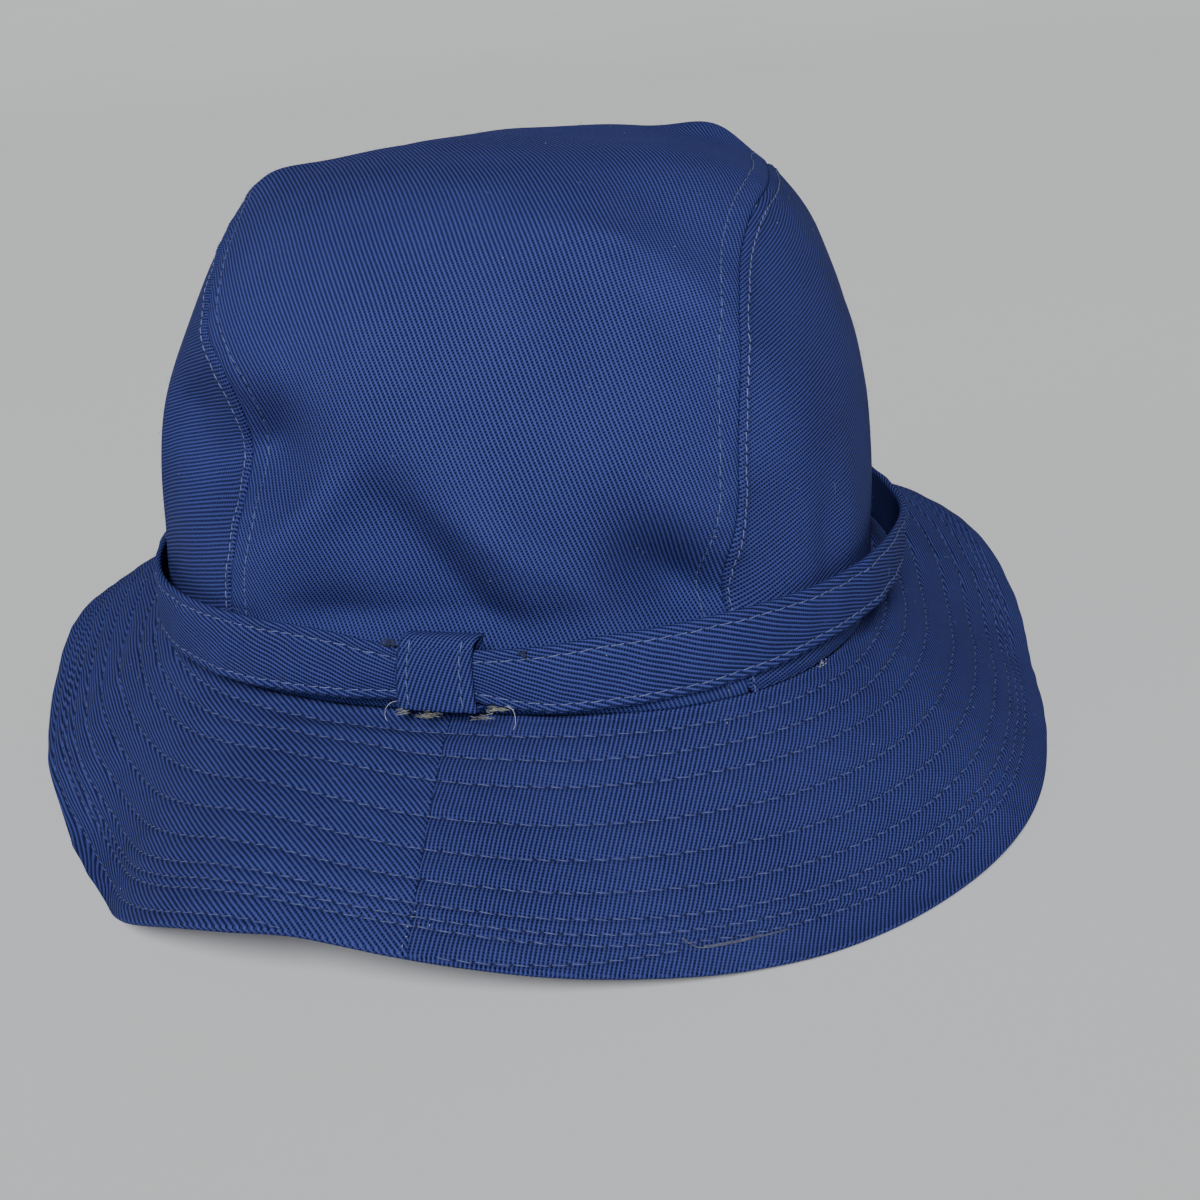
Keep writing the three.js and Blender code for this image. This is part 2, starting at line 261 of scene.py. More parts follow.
# Dip in the brim under the band, beside the keeper
DIP_AZIMUTH = -14.0
DIP_SPREAD = 20.0
DIP_PLACE = 3.4
DIP_HALF = 2.8
DIP_DEPTH = 1.3

# How far the brim's edge is cut short at each azimuth, over the last part of its width
BRIM_EDGE = table(
    "azimuth short",
    (-180, 0),
    (-125, -0.4),
    (-102, -1.4),
    (-87, -0.8),
    (-75, 0.6),
    (-62, 1.9),
    (-54, 0.6),
    (-44, -1.2),
    (-34, -0.6),
    (-24, 0.6),
    (-15, 0.4),
    (-9.5, 1.35),
    (-5, 1.2),
    (-2, 0.95),
    (2, 0.8),
    (7, 1.05),
    (18, 1.6),
    (27, 1.1),
    (35, 0.2),
    (50, 0),
    (180, 0),
)
EDGE_PART = 0.1

# Stitches
BRIM_STITCH = 3.6
SEAM_STITCH = 2.6
SIDE_STITCH = 2.2
BAND_STITCH = 3.2
KEEPER_STITCH = 3.0
THREAD_RADIUS = 0.13
FINE_THREAD_RADIUS = 0.11

# Grids
STRIP_STATIONS = 370
SIDE_STATIONS = 250
BRIM_STATIONS = 430
BAND_STATIONS = 720
EDGE_STEPS = 7
SEAM_EDGE = 6.0
FINE_STEP = 0.4
COARSE_STEP = 0.95
STRIP_INNER = 26
SIDE_INNER = 20
BAND_COLUMNS = 30
BAND_BACK_COLUMNS = 12
KEEPER_COLUMNS = 36
KEEPER_BACK_STEP = 3
BISECT_STEPS = 40
SEAM_WIDEST = 80.0


def read_table(rows, key, column, x, closed=False):
    """Smooth curve through one column of a table, read at x."""
    xs = rows[key]
    ys = rows[column]
    x = np.asarray(x, float)
    if closed:
        xs = np.concatenate([[xs[-2] - FULL_TURN], xs, [xs[1] + FULL_TURN]])
        ys = np.concatenate([[ys[-2]], ys, [ys[1]]])
        x = (x + FULL_TURN / 2) % FULL_TURN - FULL_TURN / 2
    order = np.arange(len(xs))
    before = np.maximum(order - 1, 0)
    after = np.minimum(order + 1, len(xs) - 1)
    slopes = (ys[after] - ys[before]) / (xs[after] - xs[before])
    i = np.clip(np.searchsorted(xs, x) - 1, 0, len(xs) - 2)
    width = xs[i + 1] - xs[i]
    t = np.clip((x - xs[i]) / width, 0, 1)
    start = t * (1 - t) ** 2 * width * slopes[i]
    end = t * t * (t - 1) * width * slopes[i + 1]
    return ys[i] + (ys[i + 1] - ys[i]) * ease(t) + start + end


def ease(t):
    """Smooth step from 0 to 1."""
    return t * t * (3 - 2 * t)


def bisect(low, high, beyond):
    """Values between low and high at which beyond turns true."""
    for _ in range(BISECT_STEPS):
        middle = (low + high) / 2
        far = beyond(middle)
        high = np.where(far, middle, high)
        low = np.where(far, low, middle)
    return low


def unit(vectors):
    return vectors / np.linalg.norm(vectors, axis=-1, keepdims=True)


def ripple(points, size, seed, waves=9):
    """Smooth random field of about unit height, with waves about as long as size."""
    rng = np.random.default_rng(seed)
    total = np.zeros(points.shape[:-1])
    for _ in range(waves):
        direction = unit(rng.normal(size=3))
        length = size * rng.uniform(0.7, 1.5)
        total += np.sin(points @ direction * (2 * math.pi / length) + rng.uniform(0, 2 * math.pi))
    return total / math.sqrt(waves / 2)


def unevenness(points, waves):
    """Sum of random fields, each by its height, the length of its waves and its seed."""
    return sum(height * ripple(points, length, seed) for height, length, seed in waves)


def bell(distance, half):
    return np.exp(-((distance / half) ** 2))


def polar(radius, azimuth, height):
    """Points by their radius, azimuth in degrees and height."""
    angle = np.radians(azimuth)
    return np.stack(np.broadcast_arrays(radius * np.sin(angle), -radius * np.cos(angle), height), -1)


# The crown's form

def crown_reach(azimuth, height):
    """Radius of the crown's section at an azimuth in radians and a height."""
    rise = np.clip(height / CROWN_HEIGHT, 0, 1)
    cap = (1 - rise**SHOULDER_RISE) ** (1 / SHOULDER_TURN)
    n = FOOT_SQUARENESS + (TOP_SQUARENESS - FOOT_SQUARENESS) * rise
    across = np.abs(np.sin(azimuth)) / CROWN_HALF_WIDTH
    deep = np.abs(np.cos(azimuth)) / CROWN_HALF_DEPTH
    oval = (across**n + deep**n) ** (-1 / n)
    return cap * oval * (1 + FOOT_TWIST * (1 - rise) * np.sin(2 * azimuth))


def crown_excess(points):
    """How far points lie outside the crown's plain form, measured level."""
    x = points[..., 0] - CROWN_LEAN * points[..., 2]
    y = points[..., 1]
    return np.hypot(x, y) - crown_reach(np.arctan2(x, -y), points[..., 2])


def form_normal(points):
    """Outward direction of the plain form near points."""
    steps = FORM_STEP * np.eye(3)
    return unit(np.stack([crown_excess(points + s) - crown_excess(points - s) for s in steps], -1))


def form_point(rays):
    """Where rays from the middle of the crown's foot leave the plain form."""
    inside = np.zeros(rays.shape[:-1])
    lengths = bisect(inside, inside + 2 * CROWN_HEIGHT, lambda far: crown_excess(rays * far[..., None]) > 0)
    return rays * lengths[..., None]


def crown_place(azimuth, height, distance=0.0):
    """Points at a distance outside the crown's plain form, level with a height."""
    points = polar(crown_reach(np.radians(azimuth), height) + distance, azimuth, height)
    points[..., 0] += CROWN_LEAN * height
    return points


def fold_depth(points, folds, skew=1.0):
    """Depth of a table's folds at points of the crown, with lower walls longer by skew."""
    depth = np.zeros(points.shape[:-1])
    for azimuth, height, length, width, degrees, deep in zip(*folds.values()):
        middle = crown_place(azimuth, height)
        normal = form_normal(middle)
        level = unit(np.cross([0.0, 0.0, 1.0], normal))
        steep = np.cross(normal, level)
        turn = math.radians(degrees)
        away = points - middle
        along = away @ (math.cos(turn) * level + math.sin(turn) * steep)
        across = away @ (math.cos(turn) * steep - math.sin(turn) * level)
        wide = width * np.where(across < 0, skew, 1.0)
        depth += deep * bell(along, length) * bell(across, wide) * bell(away @ normal, FOLD_REACH)
    return depth


def folded(form):
    """Points of the plain form moved into its folds."""
    return form + form_normal(form) * fold_depth(form, FOLDS)[..., None]


def creased(points):
    """Points of the folded crown with the creases pressed into it."""
    rise = np.clip((points[..., 2] - CREASE_START) / (CREASE_FULL - CREASE_START), 0, 1)
    depth = fold_depth(points, CREASES, CREASE_SKEW) * ease(rise)
    return points + np.array(PRESS) * depth[..., None]


def crown_ray(turn, side):
    """Ray over the crown: turn runs from the back foot over the top, side from left to right, in degrees."""
    turn, side = np.broadcast_arrays(np.radians(turn), np.radians(side))
    level = np.cos(side)
    return np.stack([np.sin(side), -level * np.cos(turn), level * np.sin(turn)], -1)


def seam_side(turn, column):
    """Side angle at which one of the strip's seams lies, for each turn over the crown."""
    goal = read_table(SEAMS, "turn", column, turn)
    widest = np.full(goal.shape, SEAM_WIDEST)
    return bisect(-widest, widest, lambda side: form_point(crown_ray(turn, side))[..., 0] > goal)


# The lean onto the floor
rest_normal = Vector((-REST_ROLL, -REST_PITCH, 1)).normalized()
rest_turn = np.array(rest_normal.rotation_difference(Vector((0, 0, 1))).to_matrix())
rest_shift = np.array([-MIDDLE_X, -MIDDLE_Y, REST_DROP * rest_normal.z])


def settle(points):
    return points @ rest_turn.T + rest_shift


cloth_places = []
cloth_normals = []


def remember(points, normals, settled=False):
    """Keeps the places and directions of a cloth face, for the loose fibres on it."""
    cloth_places.append((points if settled else settle(points)).reshape(-1, 3))
    cloth_normals.append((normals if settled else normals @ rest_turn.T).reshape(-1, 3))


# Meshes

def mesh_object(name, points, faces, weave=None):
    """Object from points in millimetres and lists of corners, with weave coordinates for each corner."""
    mesh = bpy.data.meshes.new(name)
    mesh.from_pydata((points * MM).tolist(), [], [face.tolist() for group in faces for face in group])
    if weave is not None:
        layer = mesh.uv_layers.new(name="Weave")
        layer.uv.foreach_set("vector", np.concatenate([w.reshape(-1) for w in weave]).astype(np.float32))
    mesh.shade_smooth()
    piece = bpy.data.objects.new(name, mesh)
    bpy.context.collection.objects.link(piece)
    return piece


def loft(name, sections, weave, ring=False):
    """Closed cloth piece through closed sections. A ring's last section joins its first, and its weave has
    one section more than its points."""
    stations, count = sections.shape[:2]
    index = np.arange(stations * count).reshape(stations, count)
    last = stations if ring else stations - 1
    here = np.arange(last)
    there = (here + 1) % stations
    turn = np.roll(np.arange(count), -1)
    quads = np.stack(
        [index[here], index[there], index[there][:, turn], index[here][:, turn]], -1
    ).reshape(-1, 4)
    threads = np.stack(
        [weave[here], weave[here + 1], weave[here + 1][:, turn], weave[here][:, turn]], -2
    ).reshape(-1, 4, 2)
    faces = [quads]
    corners = [threads]
    if not ring:
        faces += [index[:1], index[-1:, ::-1]]
        corners += [weave[:1], weave[-1:, ::-1]]
    points = sections.reshape(-1, 3)
    a, b, c = (points[quads[:, i]] for i in (0, 1, 2))
    if np.sum(a * np.cross(b, c)) < 0:
        faces = [group[:, ::-1] for group in faces]
        corners = [group[:, ::-1] for group in corners]
    return mesh_object(name, points, faces, corners)


def tubes(name, centres, normals, radius, sides=5):
    """Many short tubes as one mesh: centres are tubes x rings x 3, and normals and radius spread to match."""
    count, rings = centres.shape[:2]
    normals = np.broadcast_to(normals, centres.shape)
    radius = np.broadcast_to(radius, (count, rings))
    along = unit(np.gradient(centres, axis=1))
    beside = unit(np.cross(along, normals))
    above = np.cross(beside, along)
    angles = np.arange(sides) * 2 * math.pi / sides
    around = above[:, :, None] * np.cos(angles)[:, None] + beside[:, :, None] * np.sin(angles)[:, None]
    points = centres[:, :, None] + around * radius[:, :, None, None]
    index = np.arange(count * rings * sides).reshape(count, rings, sides)
    turn = np.roll(np.arange(sides), -1)
    near = index[:, :-1]
    far = index[:, 1:]
    walls = np.stack([near, near[..., turn], far[..., turn], far], -1).reshape(-1, 4)
    return mesh_object(name, points.reshape(-1, 3), [walls, index[:, 0, ::-1], index[:, -1]])


def grid_normals(points, outward):
    """Directions of a grid of points, on the side that outward shows."""
    normals = unit(np.cross(np.gradient(points, axis=0), np.gradient(points, axis=1)))
    return normals * np.sign(np.sum(normals * outward, -1, keepdims=True))


def run_lengths(points, axis):
    """Length from the start of a grid along one axis."""
    steps = np.linalg.norm(np.diff(points, axis=axis), axis=-1)
    start = np.zeros_like(np.take(steps, [0], axis=axis))
    return np.concatenate([start, np.cumsum(steps, axis=axis)], axis=axis)


def read_run(at, run, values):
    """Rows of values at lengths along a run."""
    return np.stack([np.interp(at, run, column) for column in values.T], -1)


def edge_shares(width, first_edge=True):
    """Shares from 0 to 1 over a width in millimetres, finer within an edge at the last end or at both."""
    fine = np.arange(0, SEAM_EDGE, FINE_STEP)
    first = fine if first_edge else np.array([0.0])
    last = width - fine[::-1]
    inner = np.linspace(first[-1], last[0], round((last[0] - first[-1]) / COARSE_STEP) + 1)[1:-1]
    return np.concatenate([first, inner, last]) / width


# Crown pieces

CROWN_MIDDLE = np.array([0.0, 0.0, 20.0])
WEAVE_MIDDLE = 5.0
LEFT_SEED = 11
RIGHT_SEED = 12
STRIP_WIDTH = 118.0
SIDE_HEIGHT = 95.0
SIDE_END = 0.004
SIDE_WEAVE_RISE = 0.8
CLOTH_WAVES = ((0.3, 60.0, 3), (0.1, 22.0, 4))
PUCKER_HEIGHT = 0.1
PUCKER_LENGTH = 7.0
PUCKER_PLACE = 2.5
PUCKER_HALF = 4.0
PAST_ROW = 0.9
FOLD_EDGE = 0.6
FOLD_FULL = 1.1
SIDE_SOFT = 0.3
STRIP_SOFT = 0.4
FOOT_HALF = 1.3


def seam_relief(distance, points, seed, rise, row, soft):
    """Height beside a crown seam: a rise that ends softly past a row of stitches, its groove and puckers."""
    step = rise / (1 + np.exp((distance - row - PAST_ROW) / soft))
    groove = ROW_GROOVE * bell(distance - row, ROW_GROOVE_HALF)
    pucker = PUCKER_HEIGHT * ripple(points, PUCKER_LENGTH, seed) * bell(distance - PUCKER_PLACE, PUCKER_HALF)
    return step - groove + pucker


def side_relief(distance, points, seed):
    """Height of a side panel's folded edge, at a distance from the seam."""
    rise = SIDE_FOLD * (FOLD_FULL - bell(distance, FOLD_EDGE))
    return seam_relief(distance, points, seed, rise, SIDE_ROW, SIDE_SOFT)


def strip_relief(distance, points, seed):
    """Height of the centre strip over the allowance under it, at a distance from the seam."""
    allowance = seam_relief(distance, points, seed, STRIP_RISE, STRIP_ROW, STRIP_SOFT)
    return allowance - STRIP_GROOVE * bell(distance, FOLD_EDGE)


def crown_piece(name, form, weave, edge_relief, foot, inner_columns):
    """Crown piece over a grid of the plain form, with its outer face and directions and the lengths along the
    grid's rows. edge_relief gives heights for these lengths, and foot picks the points at the foot."""
    smooth = folded(form)
    plain = creased(smooth)
    normals = grid_normals(plain, plain - CROWN_MIDDLE)
    lengths = run_lengths(smooth, 1)
    tuck = FOOT_TUCK * bell(plain[..., 2], FOOT_HALF)
    relief = edge_relief(lengths, plain) + unevenness(plain, CLOTH_WAVES) - tuck
    outer = plain + normals * relief[..., None]
    inner = plain - normals * CROWN_CLOTH
    for face in (outer, inner):
        face[(*foot, 2)] = 0
    every = np.linspace(0, form.shape[1] - 1, inner_columns).round().astype(int)[::-1]
    sections = settle(np.concatenate([outer, inner[:, every]], 1))
    remember(outer, normals)
    piece = loft(name, sections, np.concatenate([weave, weave[:, every]], 1))
    return piece, outer, normals, lengths


def crown_strip():
    """Centre strip, with the stitch lines along its two seams."""
    turns = np.linspace(0, 180, STRIP_STATIONS)
    gap = math.degrees(SEAM_GAP / 2 / CROWN_HALF_WIDTH)
    left = seam_side(turns, "left")[:, None] + gap
    right = seam_side(turns, "right")[:, None] - gap
    shares = edge_shares(STRIP_WIDTH)
    form = form_point(crown_ray(turns[:, None], left + (right - left) * shares))
    run = run_lengths(form, 1)
    zero = [np.interp(WEAVE_MIDDLE, x, lengths) for x, lengths in zip(form[..., 0], run)]
    across = run - np.array(zero)[:, None]
    middle = len(shares) // 2
    along = np.broadcast_to(run_lengths(form, 0)[:, middle:middle + 1], across.shape)
    weave = np.stack([across, along], -1)

    def relief(from_left, points):
        from_right = from_left[:, -1:] - from_left
        return strip_relief(from_left, points, LEFT_SEED) + strip_relief(from_right, points, RIGHT_SEED)

    ends = ([0, -1], slice(None))
    piece, outer, normals, from_left = crown_piece("crown_strip", form, weave, relief, ends, STRIP_INNER)
    from_right = from_left[:, -1:] - from_left
    rows = [line_at(outer, normals, distance, STRIP_ROW) for distance in (from_left, from_right)]
    return piece, rows


def line_at(points, normals, distance, goal):
    """The line across a grid's rows where a distance reaches a goal, as points and directions."""
    rows = np.arange(len(points))
    column = np.argmin(np.abs(distance - goal), axis=1)
    return points[rows, column], normals[rows, column]


def crown_side(name, column, seed):
    """D-shaped side panel, with the stitch line along its seam."""
    stations = np.linspace(SIDE_END, 1 - SIDE_END, SIDE_STATIONS)[:, None]
    sign = -1 if column == "left" else 1
    gap = sign * math.degrees(SEAM_GAP / 2 / CROWN_HALF_WIDTH)
    side = seam_side(180 * stations, column) + gap
    seam = crown_ray(180 * stations, side)
    ends = seam_side(np.array([0.0, 180.0]), column) + gap
    azimuth = ends[0] + (sign * 180 - ends[1] - ends[0]) * stations
    foot = crown_ray(0.0, azimuth)
    shares = edge_shares(SIDE_HEIGHT, first_edge=False)[:, None]
    form = form_point(unit(foot * (1 - shares) + seam * shares))
    around = np.arctan2(form[..., 0], -form[..., 1]) % (2 * math.pi) * CROWN_HALF_WIDTH
    inward = CROWN_HALF_WIDTH - np.hypot(form[..., 0], form[..., 1])
    weave = np.stack([around, form[..., 2] + SIDE_WEAVE_RISE * inward], -1)

    def relief(from_foot, points):
        return side_relief(from_foot[:, -1:] - from_foot, points, seed)

    first = (slice(None), 0)
    piece, outer, normals, from_foot = crown_piece(name, form, weave, relief, first, SIDE_INNER)
    return piece, line_at(outer, normals, from_foot[:, -1:] - from_foot, SIDE_ROW)


# Brim: cut flat as part of a wider ring
BRIM_FLAT_RADIUS = 112.0
BRIM_FLAT_SPREAD = 0.785


def brim_frame(azimuth, share):
    """Radius, height and slope in radians of the middle of the brim's wall."""
    azimuth, share = np.broadcast_arrays(np.asarray(azimuth, float), np.asarray(share, float))
    slope = read_table(BRIM_SLOPES, "azimuth", "slope", azimuth, True)

    def slope_at(s):
        return np.radians(slope + BRIM_BEND * (2 * s - 1))

    radius = crown_reach(np.radians(azimuth), 0.0) - CROWN_CLOTH
    height = -GAP - BRIM_CLOTH / 2 * np.cos(slope_at(0))
    for i in range(BRIM_RUNS):
        run = np.clip(share * BRIM_RUNS - i, 0, 1) * (BRIM_WIDTH + CROWN_CLOTH) / BRIM_RUNS
        radius = radius + run * np.cos(slope_at((i + 0.5) / BRIM_RUNS))
        height = height - run * np.sin(slope_at((i + 0.5) / BRIM_RUNS))
    return radius, height, slope_at(share)


def brim_place(azimuth, share, lift, out=0.0):
    """Settled points of the brim, lifted off the middle of its wall and moved out past its rim. The brim
    bends softly towards level where it would sink into the floor."""
    radius, height, slope = brim_frame(azimuth, share)

    def wall(up, beyond):
        return settle(polar(radius + up * np.sin(slope) + beyond, azimuth, height + up * np.cos(slope)))

    low = wall(-BRIM_CLOTH / 2, 0.0)[..., 2]
    raised = (np.hypot(low, REST_SOFT) - low) / 2
    points = wall(lift, raised * np.tan(slope / 2) + out * np.cos(slope))
    points[..., 2] = np.maximum(points[..., 2] + raised - out * np.sin(slope), 0)
    return points


def brim_normal(azimuth, share):
    slope = brim_frame(azimuth, share)[2]
    return polar(np.sin(slope), azimuth, np.cos(slope)) @ rest_turn.T


def spiral_share(turn):
    """Share of the brim's width at which the spiral of stitches runs."""
    even = read_table(SPIRAL, "turn", "share", turn)
    shift = read_table(ROW_SHIFT, "azimuth", "shift", np.asarray(turn) * FULL_TURN, True)
    return even + 4 * even * (1 - even) * shift


def brim_row_distance(azimuth, share):
    """Distance to the nearest row of the spiral of stitches."""
    part = np.asarray(azimuth) / FULL_TURN % 1
    nearest = np.full(np.broadcast(azimuth, share).shape, BRIM_WIDTH)
    for whole in SPIRAL_TURNS:
        turn = whole + part
        sewn = np.any([(turn > first) & (turn < last) for first, last in SPIRAL_RUNS], axis=0)
        gap = np.abs(share - spiral_share(turn)) * BRIM_WIDTH
        nearest = np.where(sewn, np.minimum(nearest, gap), nearest)
    return nearest


BRIM_WAVES = ((0.07, 7.0, 21), (0.12, 30.0, 22))
BRIM_WAVE_RISE = 40.0
BRIM_SWELL_HALF = 2.2
BACK_SEAM_RISE = 0.1
BACK_SEAM_HALF = 3.6
BACK_SEAM_SOFT = 0.35
ROOT_TUCK = 0.4
ROOT_HALF = 1.0


def brim_relief(azimuth, share):
    """Height of the quilted brim: grooves along the stitching, swells between, and the two seams."""
    gap = brim_row_distance(azimuth, share)
    radius = brim_frame(azimuth, share)[0]
    out = share * BRIM_WIDTH
    swell = BRIM_PUFF * (1 - bell(gap, BRIM_SWELL_HALF))
    groove = BRIM_ROW_GROOVE * bell(gap, BRIM_GROOVE_HALF)
    pucker = unevenness(polar(radius, azimuth, BRIM_WAVE_RISE * share), BRIM_WAVES)
    from_seam = np.minimum(np.abs(azimuth), 180 - np.abs(azimuth)) * math.pi / 180 * radius
    seam = BACK_SEAM_RISE / (1 + np.exp((from_seam - BACK_SEAM_HALF) / BACK_SEAM_SOFT))
    root = ROOT_TUCK * bell(out - CROWN_CLOTH, ROOT_HALF)
    dip = DIP_DEPTH * bell(azimuth - DIP_AZIMUTH, DIP_SPREAD) * bell(out - DIP_PLACE, DIP_HALF)
    return swell - groove + pucker + seam - root - dip


def brim_shares(azimuth, share):
    """Shares of the brim's width, with the last part of it cut short at the edge."""
    short = read_table(BRIM_EDGE, "azimuth", "short", azimuth, True) / BRIM_WIDTH
    return share - short * np.clip((share - 1 + EDGE_PART) / EDGE_PART, 0, 1)


UPPER_SHARES = np.linspace(0, 1, 130)
LOWER_SHARES = np.linspace(1, 0, 30)
RIM_OUT = 0.9
RIM_GROOVE = 0.35
RIM_GROOVE_HALF = 0.35


def brim_half(name, from_azimuth, to_azimuth):
    """Half of the brim: upper face, rounded rim with a groove between its two layers, lower face."""
    gap = math.degrees(BRIM_SEAM_GAP / 2 / CROWN_HALF_WIDTH)
    azimuth = np.linspace(from_azimuth + gap, to_azimuth - gap, BRIM_STATIONS)[:, None]
    turn = np.linspace(0.5, -0.5, EDGE_STEPS + 2)[1:-1] * math.pi
    half = BRIM_CLOTH / 2
    upper = brim_shares(azimuth, UPPER_SHARES)
    edge = brim_shares(azimuth, np.ones_like(turn))
    lower = brim_shares(azimuth, LOWER_SHARES)
    top = brim_place(azimuth, upper, half + brim_relief(azimuth, upper))
    rim_out = RIM_OUT * np.cos(turn) - RIM_GROOVE * bell(turn, RIM_GROOVE_HALF)
    rim = brim_place(azimuth, edge, half * np.sin(turn), rim_out)
    under = brim_place(azimuth, lower, np.full_like(lower, -half))
    remember(top, brim_normal(azimuth, upper), settled=True)
    rim_run = edge * BRIM_WIDTH + (turn[0] - turn) * half
    reach = BRIM_FLAT_RADIUS + np.concatenate([upper * BRIM_WIDTH, rim_run, lower * BRIM_WIDTH], 1)
    weave = polar(reach, azimuth * BRIM_FLAT_SPREAD, 0.0)[..., :2]
    return loft(name, np.concatenate([top, rim, under], 1), weave)


ROW_LENGTH = 700.0
BAND_LENGTH = 600.0
LINE_STEP = 0.4


def spiral_lines():
    """Points and directions along each run of the brim's spiral of stitches."""
    lines = []
    for first, last in SPIRAL_RUNS:
        turns = np.linspace(first, last, int((last - first) * ROW_LENGTH / LINE_STEP))
        share = spiral_share(turns)
        azimuth = (turns * FULL_TURN + 180) % FULL_TURN - 180
        lift = BRIM_CLOTH / 2 + brim_relief(azimuth, share)
        lines.append((brim_place(azimuth, share, lift), brim_normal(azimuth, share)))
    return lines


# Band and keeper

def beside_crown(azimuth, height, distance):
    """Settled points at a distance outside the crown's plain form."""
    return settle(crown_place(azimuth, height, distance))


BAND_ROW = 2.1
BAND_ROW_GROOVE = 0.2
BAND_ROW_HALF = 0.5
BAND_SWELL = 0.25
BAND_SWELL_HALF = 2.0
BAND_WAVES = ((0.12, 9.0, 31), (0.2, 40.0, 32))
BAND_WAVE_RADIUS = 90.0
BAND_WIDTH = 15.0


def band_face(azimuth, share):
    """Height and distance of the band's outer face at a share of its width from the bottom, and its stand."""
    bottom, top, stand = (read_table(BAND, "azimuth", c, azimuth, True) for c in ("bottom", "top", "stand"))
    height = bottom + (top - bottom) * share
    from_edge = np.minimum(share, 1 - share) * (top - bottom)
    from_row = from_edge - BAND_ROW
    groove = BAND_ROW_GROOVE * bell(from_row, BAND_ROW_HALF)
    swell = BAND_SWELL * (1 - bell(from_row, BAND_SWELL_HALF)) * (from_row > 0)
    uneven = unevenness(polar(BAND_WAVE_RADIUS, azimuth, height), BAND_WAVES)
    return height, stand + BAND_CLOTH - groove + swell + uneven, stand


def band():
    """Loose ring of folded twill, with the stitch lines along its edges."""
    azimuth = np.linspace(-180, 180, BAND_STATIONS, endpoint=False)[:, None]
    half = BAND_CLOTH / 2
    rim = half / BAND_WIDTH
    face = np.linspace(rim, 1 - rim, BAND_COLUMNS)
    back = np.linspace(1 - rim, rim, BAND_BACK_COLUMNS)
    turn = np.linspace(0, math.pi, EDGE_STEPS + 2)[1:-1]
    height, outer, stand = band_face(azimuth, face)
    front = beside_crown(azimuth, height, outer)
    rear_height, _, _ = band_face(azimuth, back)
    rear = beside_crown(azimuth, rear_height, stand)
    edges = []
    for end, way in ((1 - rim, 1), (rim, -1)):
        level, far, _ = band_face(azimuth, np.array([end]))
        reach = (far - stand) / 2
        distance = stand + reach + reach * np.cos(turn) * way
        edges.append(beside_crown(azimuth, level + way * half * np.sin(turn), distance))
    sections = np.concatenate([front, edges[0], rear, edges[1]], 1)
    middle = front[:, len(face) // 2]
    lengths = run_lengths(np.concatenate([middle, middle[:1]])[:, None], 0)
    weave = np.stack(np.broadcast_arrays(lengths, run_lengths(sections[:1], 1)), -1)
    remember(front, unit(front - settle(CROWN_MIDDLE)), settled=True)
    return loft("hat_band", sections, weave, ring=True)


def band_line(top):
    """Points and directions along the band's upper or lower row of stitches."""
    azimuth = np.linspace(-180, 180, int(BAND_LENGTH / LINE_STEP))
    bottom, above = (read_table(BAND, "azimuth", c, azimuth, True) for c in ("bottom", "top"))
    share = BAND_ROW / (above - bottom)
    height, outer, _ = band_face(azimuth, 1 - share if top else share)
    points = beside_crown(azimuth, height, outer)
    further = beside_crown(azimuth, height, outer + 1)
    return points, unit(further - points)


# Keeper's edges, from its middle, at each height
KEEPER_EDGES = table(
    "height left right",
    (0, -7.9, 8.2),
    (5, -8.2, 7.5),
    (10, -8.2, 7.2),
    (14, -7.8, 7.2),
    (17, -7.2, 7.6),
    (19, -6.9, 8.2),
)
KEEPER_ROLL = 2.3
KEEPER_ROW = 2.6
KEEPER_TWIST = 1.6
KEEPER_STEPS = 130
KEEPER_BEND_STEPS = 9
KEEPER_ROW_BELOW = 43
KEEPER_ROW_ABOVE = 9
KEEPER_ROW_SINK = 0.12
KEEPER_FOLD = 1.0
KEEPER_GROOVE = 0.15
KEEPER_GROOVE_HALF = 0.45


def keeper_path(count):
    """The keeper's loop from the front up over its rolled top: distance from the crown and height, and the
    outward direction."""
    near = KEEPER_STAND
    far = KEEPER_STAND + KEEPER_DEPTH
    turn = np.linspace(0, math.pi / 2, KEEPER_BEND_STEPS)
    path = []
    bends = (
        (far, KEEPER_TOP, -1, -1, KEEPER_ROLL, 0),
        (near, KEEPER_TOP, 1, -1, KEEPER_ROLL, 1),
        (near, KEEPER_BOTTOM, 1, 1, KEEPER_FOLD, 2),
        (far, KEEPER_BOTTOM, -1, 1, KEEPER_FOLD, 3),
    )
    for x, z, inward, down, radius, quarter in bends:
        angle = turn + quarter * math.pi / 2
        middle = np.array([x + inward * radius, z + down * radius])
        path.append(middle + radius * np.stack([np.cos(angle), np.sin(angle)], -1))
    path = np.concatenate(path + [path[0][:1]])
    run = run_lengths(path[:, None], 0)[:, 0]
    at = np.linspace(0, run[-1], count, endpoint=False)
    path = read_run(at, run, path)
    ahead = np.roll(path, -1, 0) - np.roll(path, 1, 0)
    return path, unit(np.stack([ahead[:, 1], -ahead[:, 0]], -1))


def keeper_place(across, height, distance):
    """Settled points by the distance across from the keeper's middle."""
    return beside_crown(KEEPER_AZIMUTH + np.degrees(across / CROWN_HALF_DEPTH), height, distance)


def keeper_point(share, spots):
    """Settled points of the keeper for shares from its left edge to its right one, at spots by distance from
    the crown and height. The loop is twisted, so its back lies further to the right."""
    distance, height = spots[..., 0], spots[..., 1]
    left, right = (read_table(KEEPER_EDGES, "height", c, height) for c in ("left", "right"))
    depth = np.clip((KEEPER_STAND + KEEPER_DEPTH - distance) / KEEPER_DEPTH, 0, 1)
    across = left + (right - left) * share + KEEPER_TWIST * ease(depth)
    return keeper_place(across, height, distance)


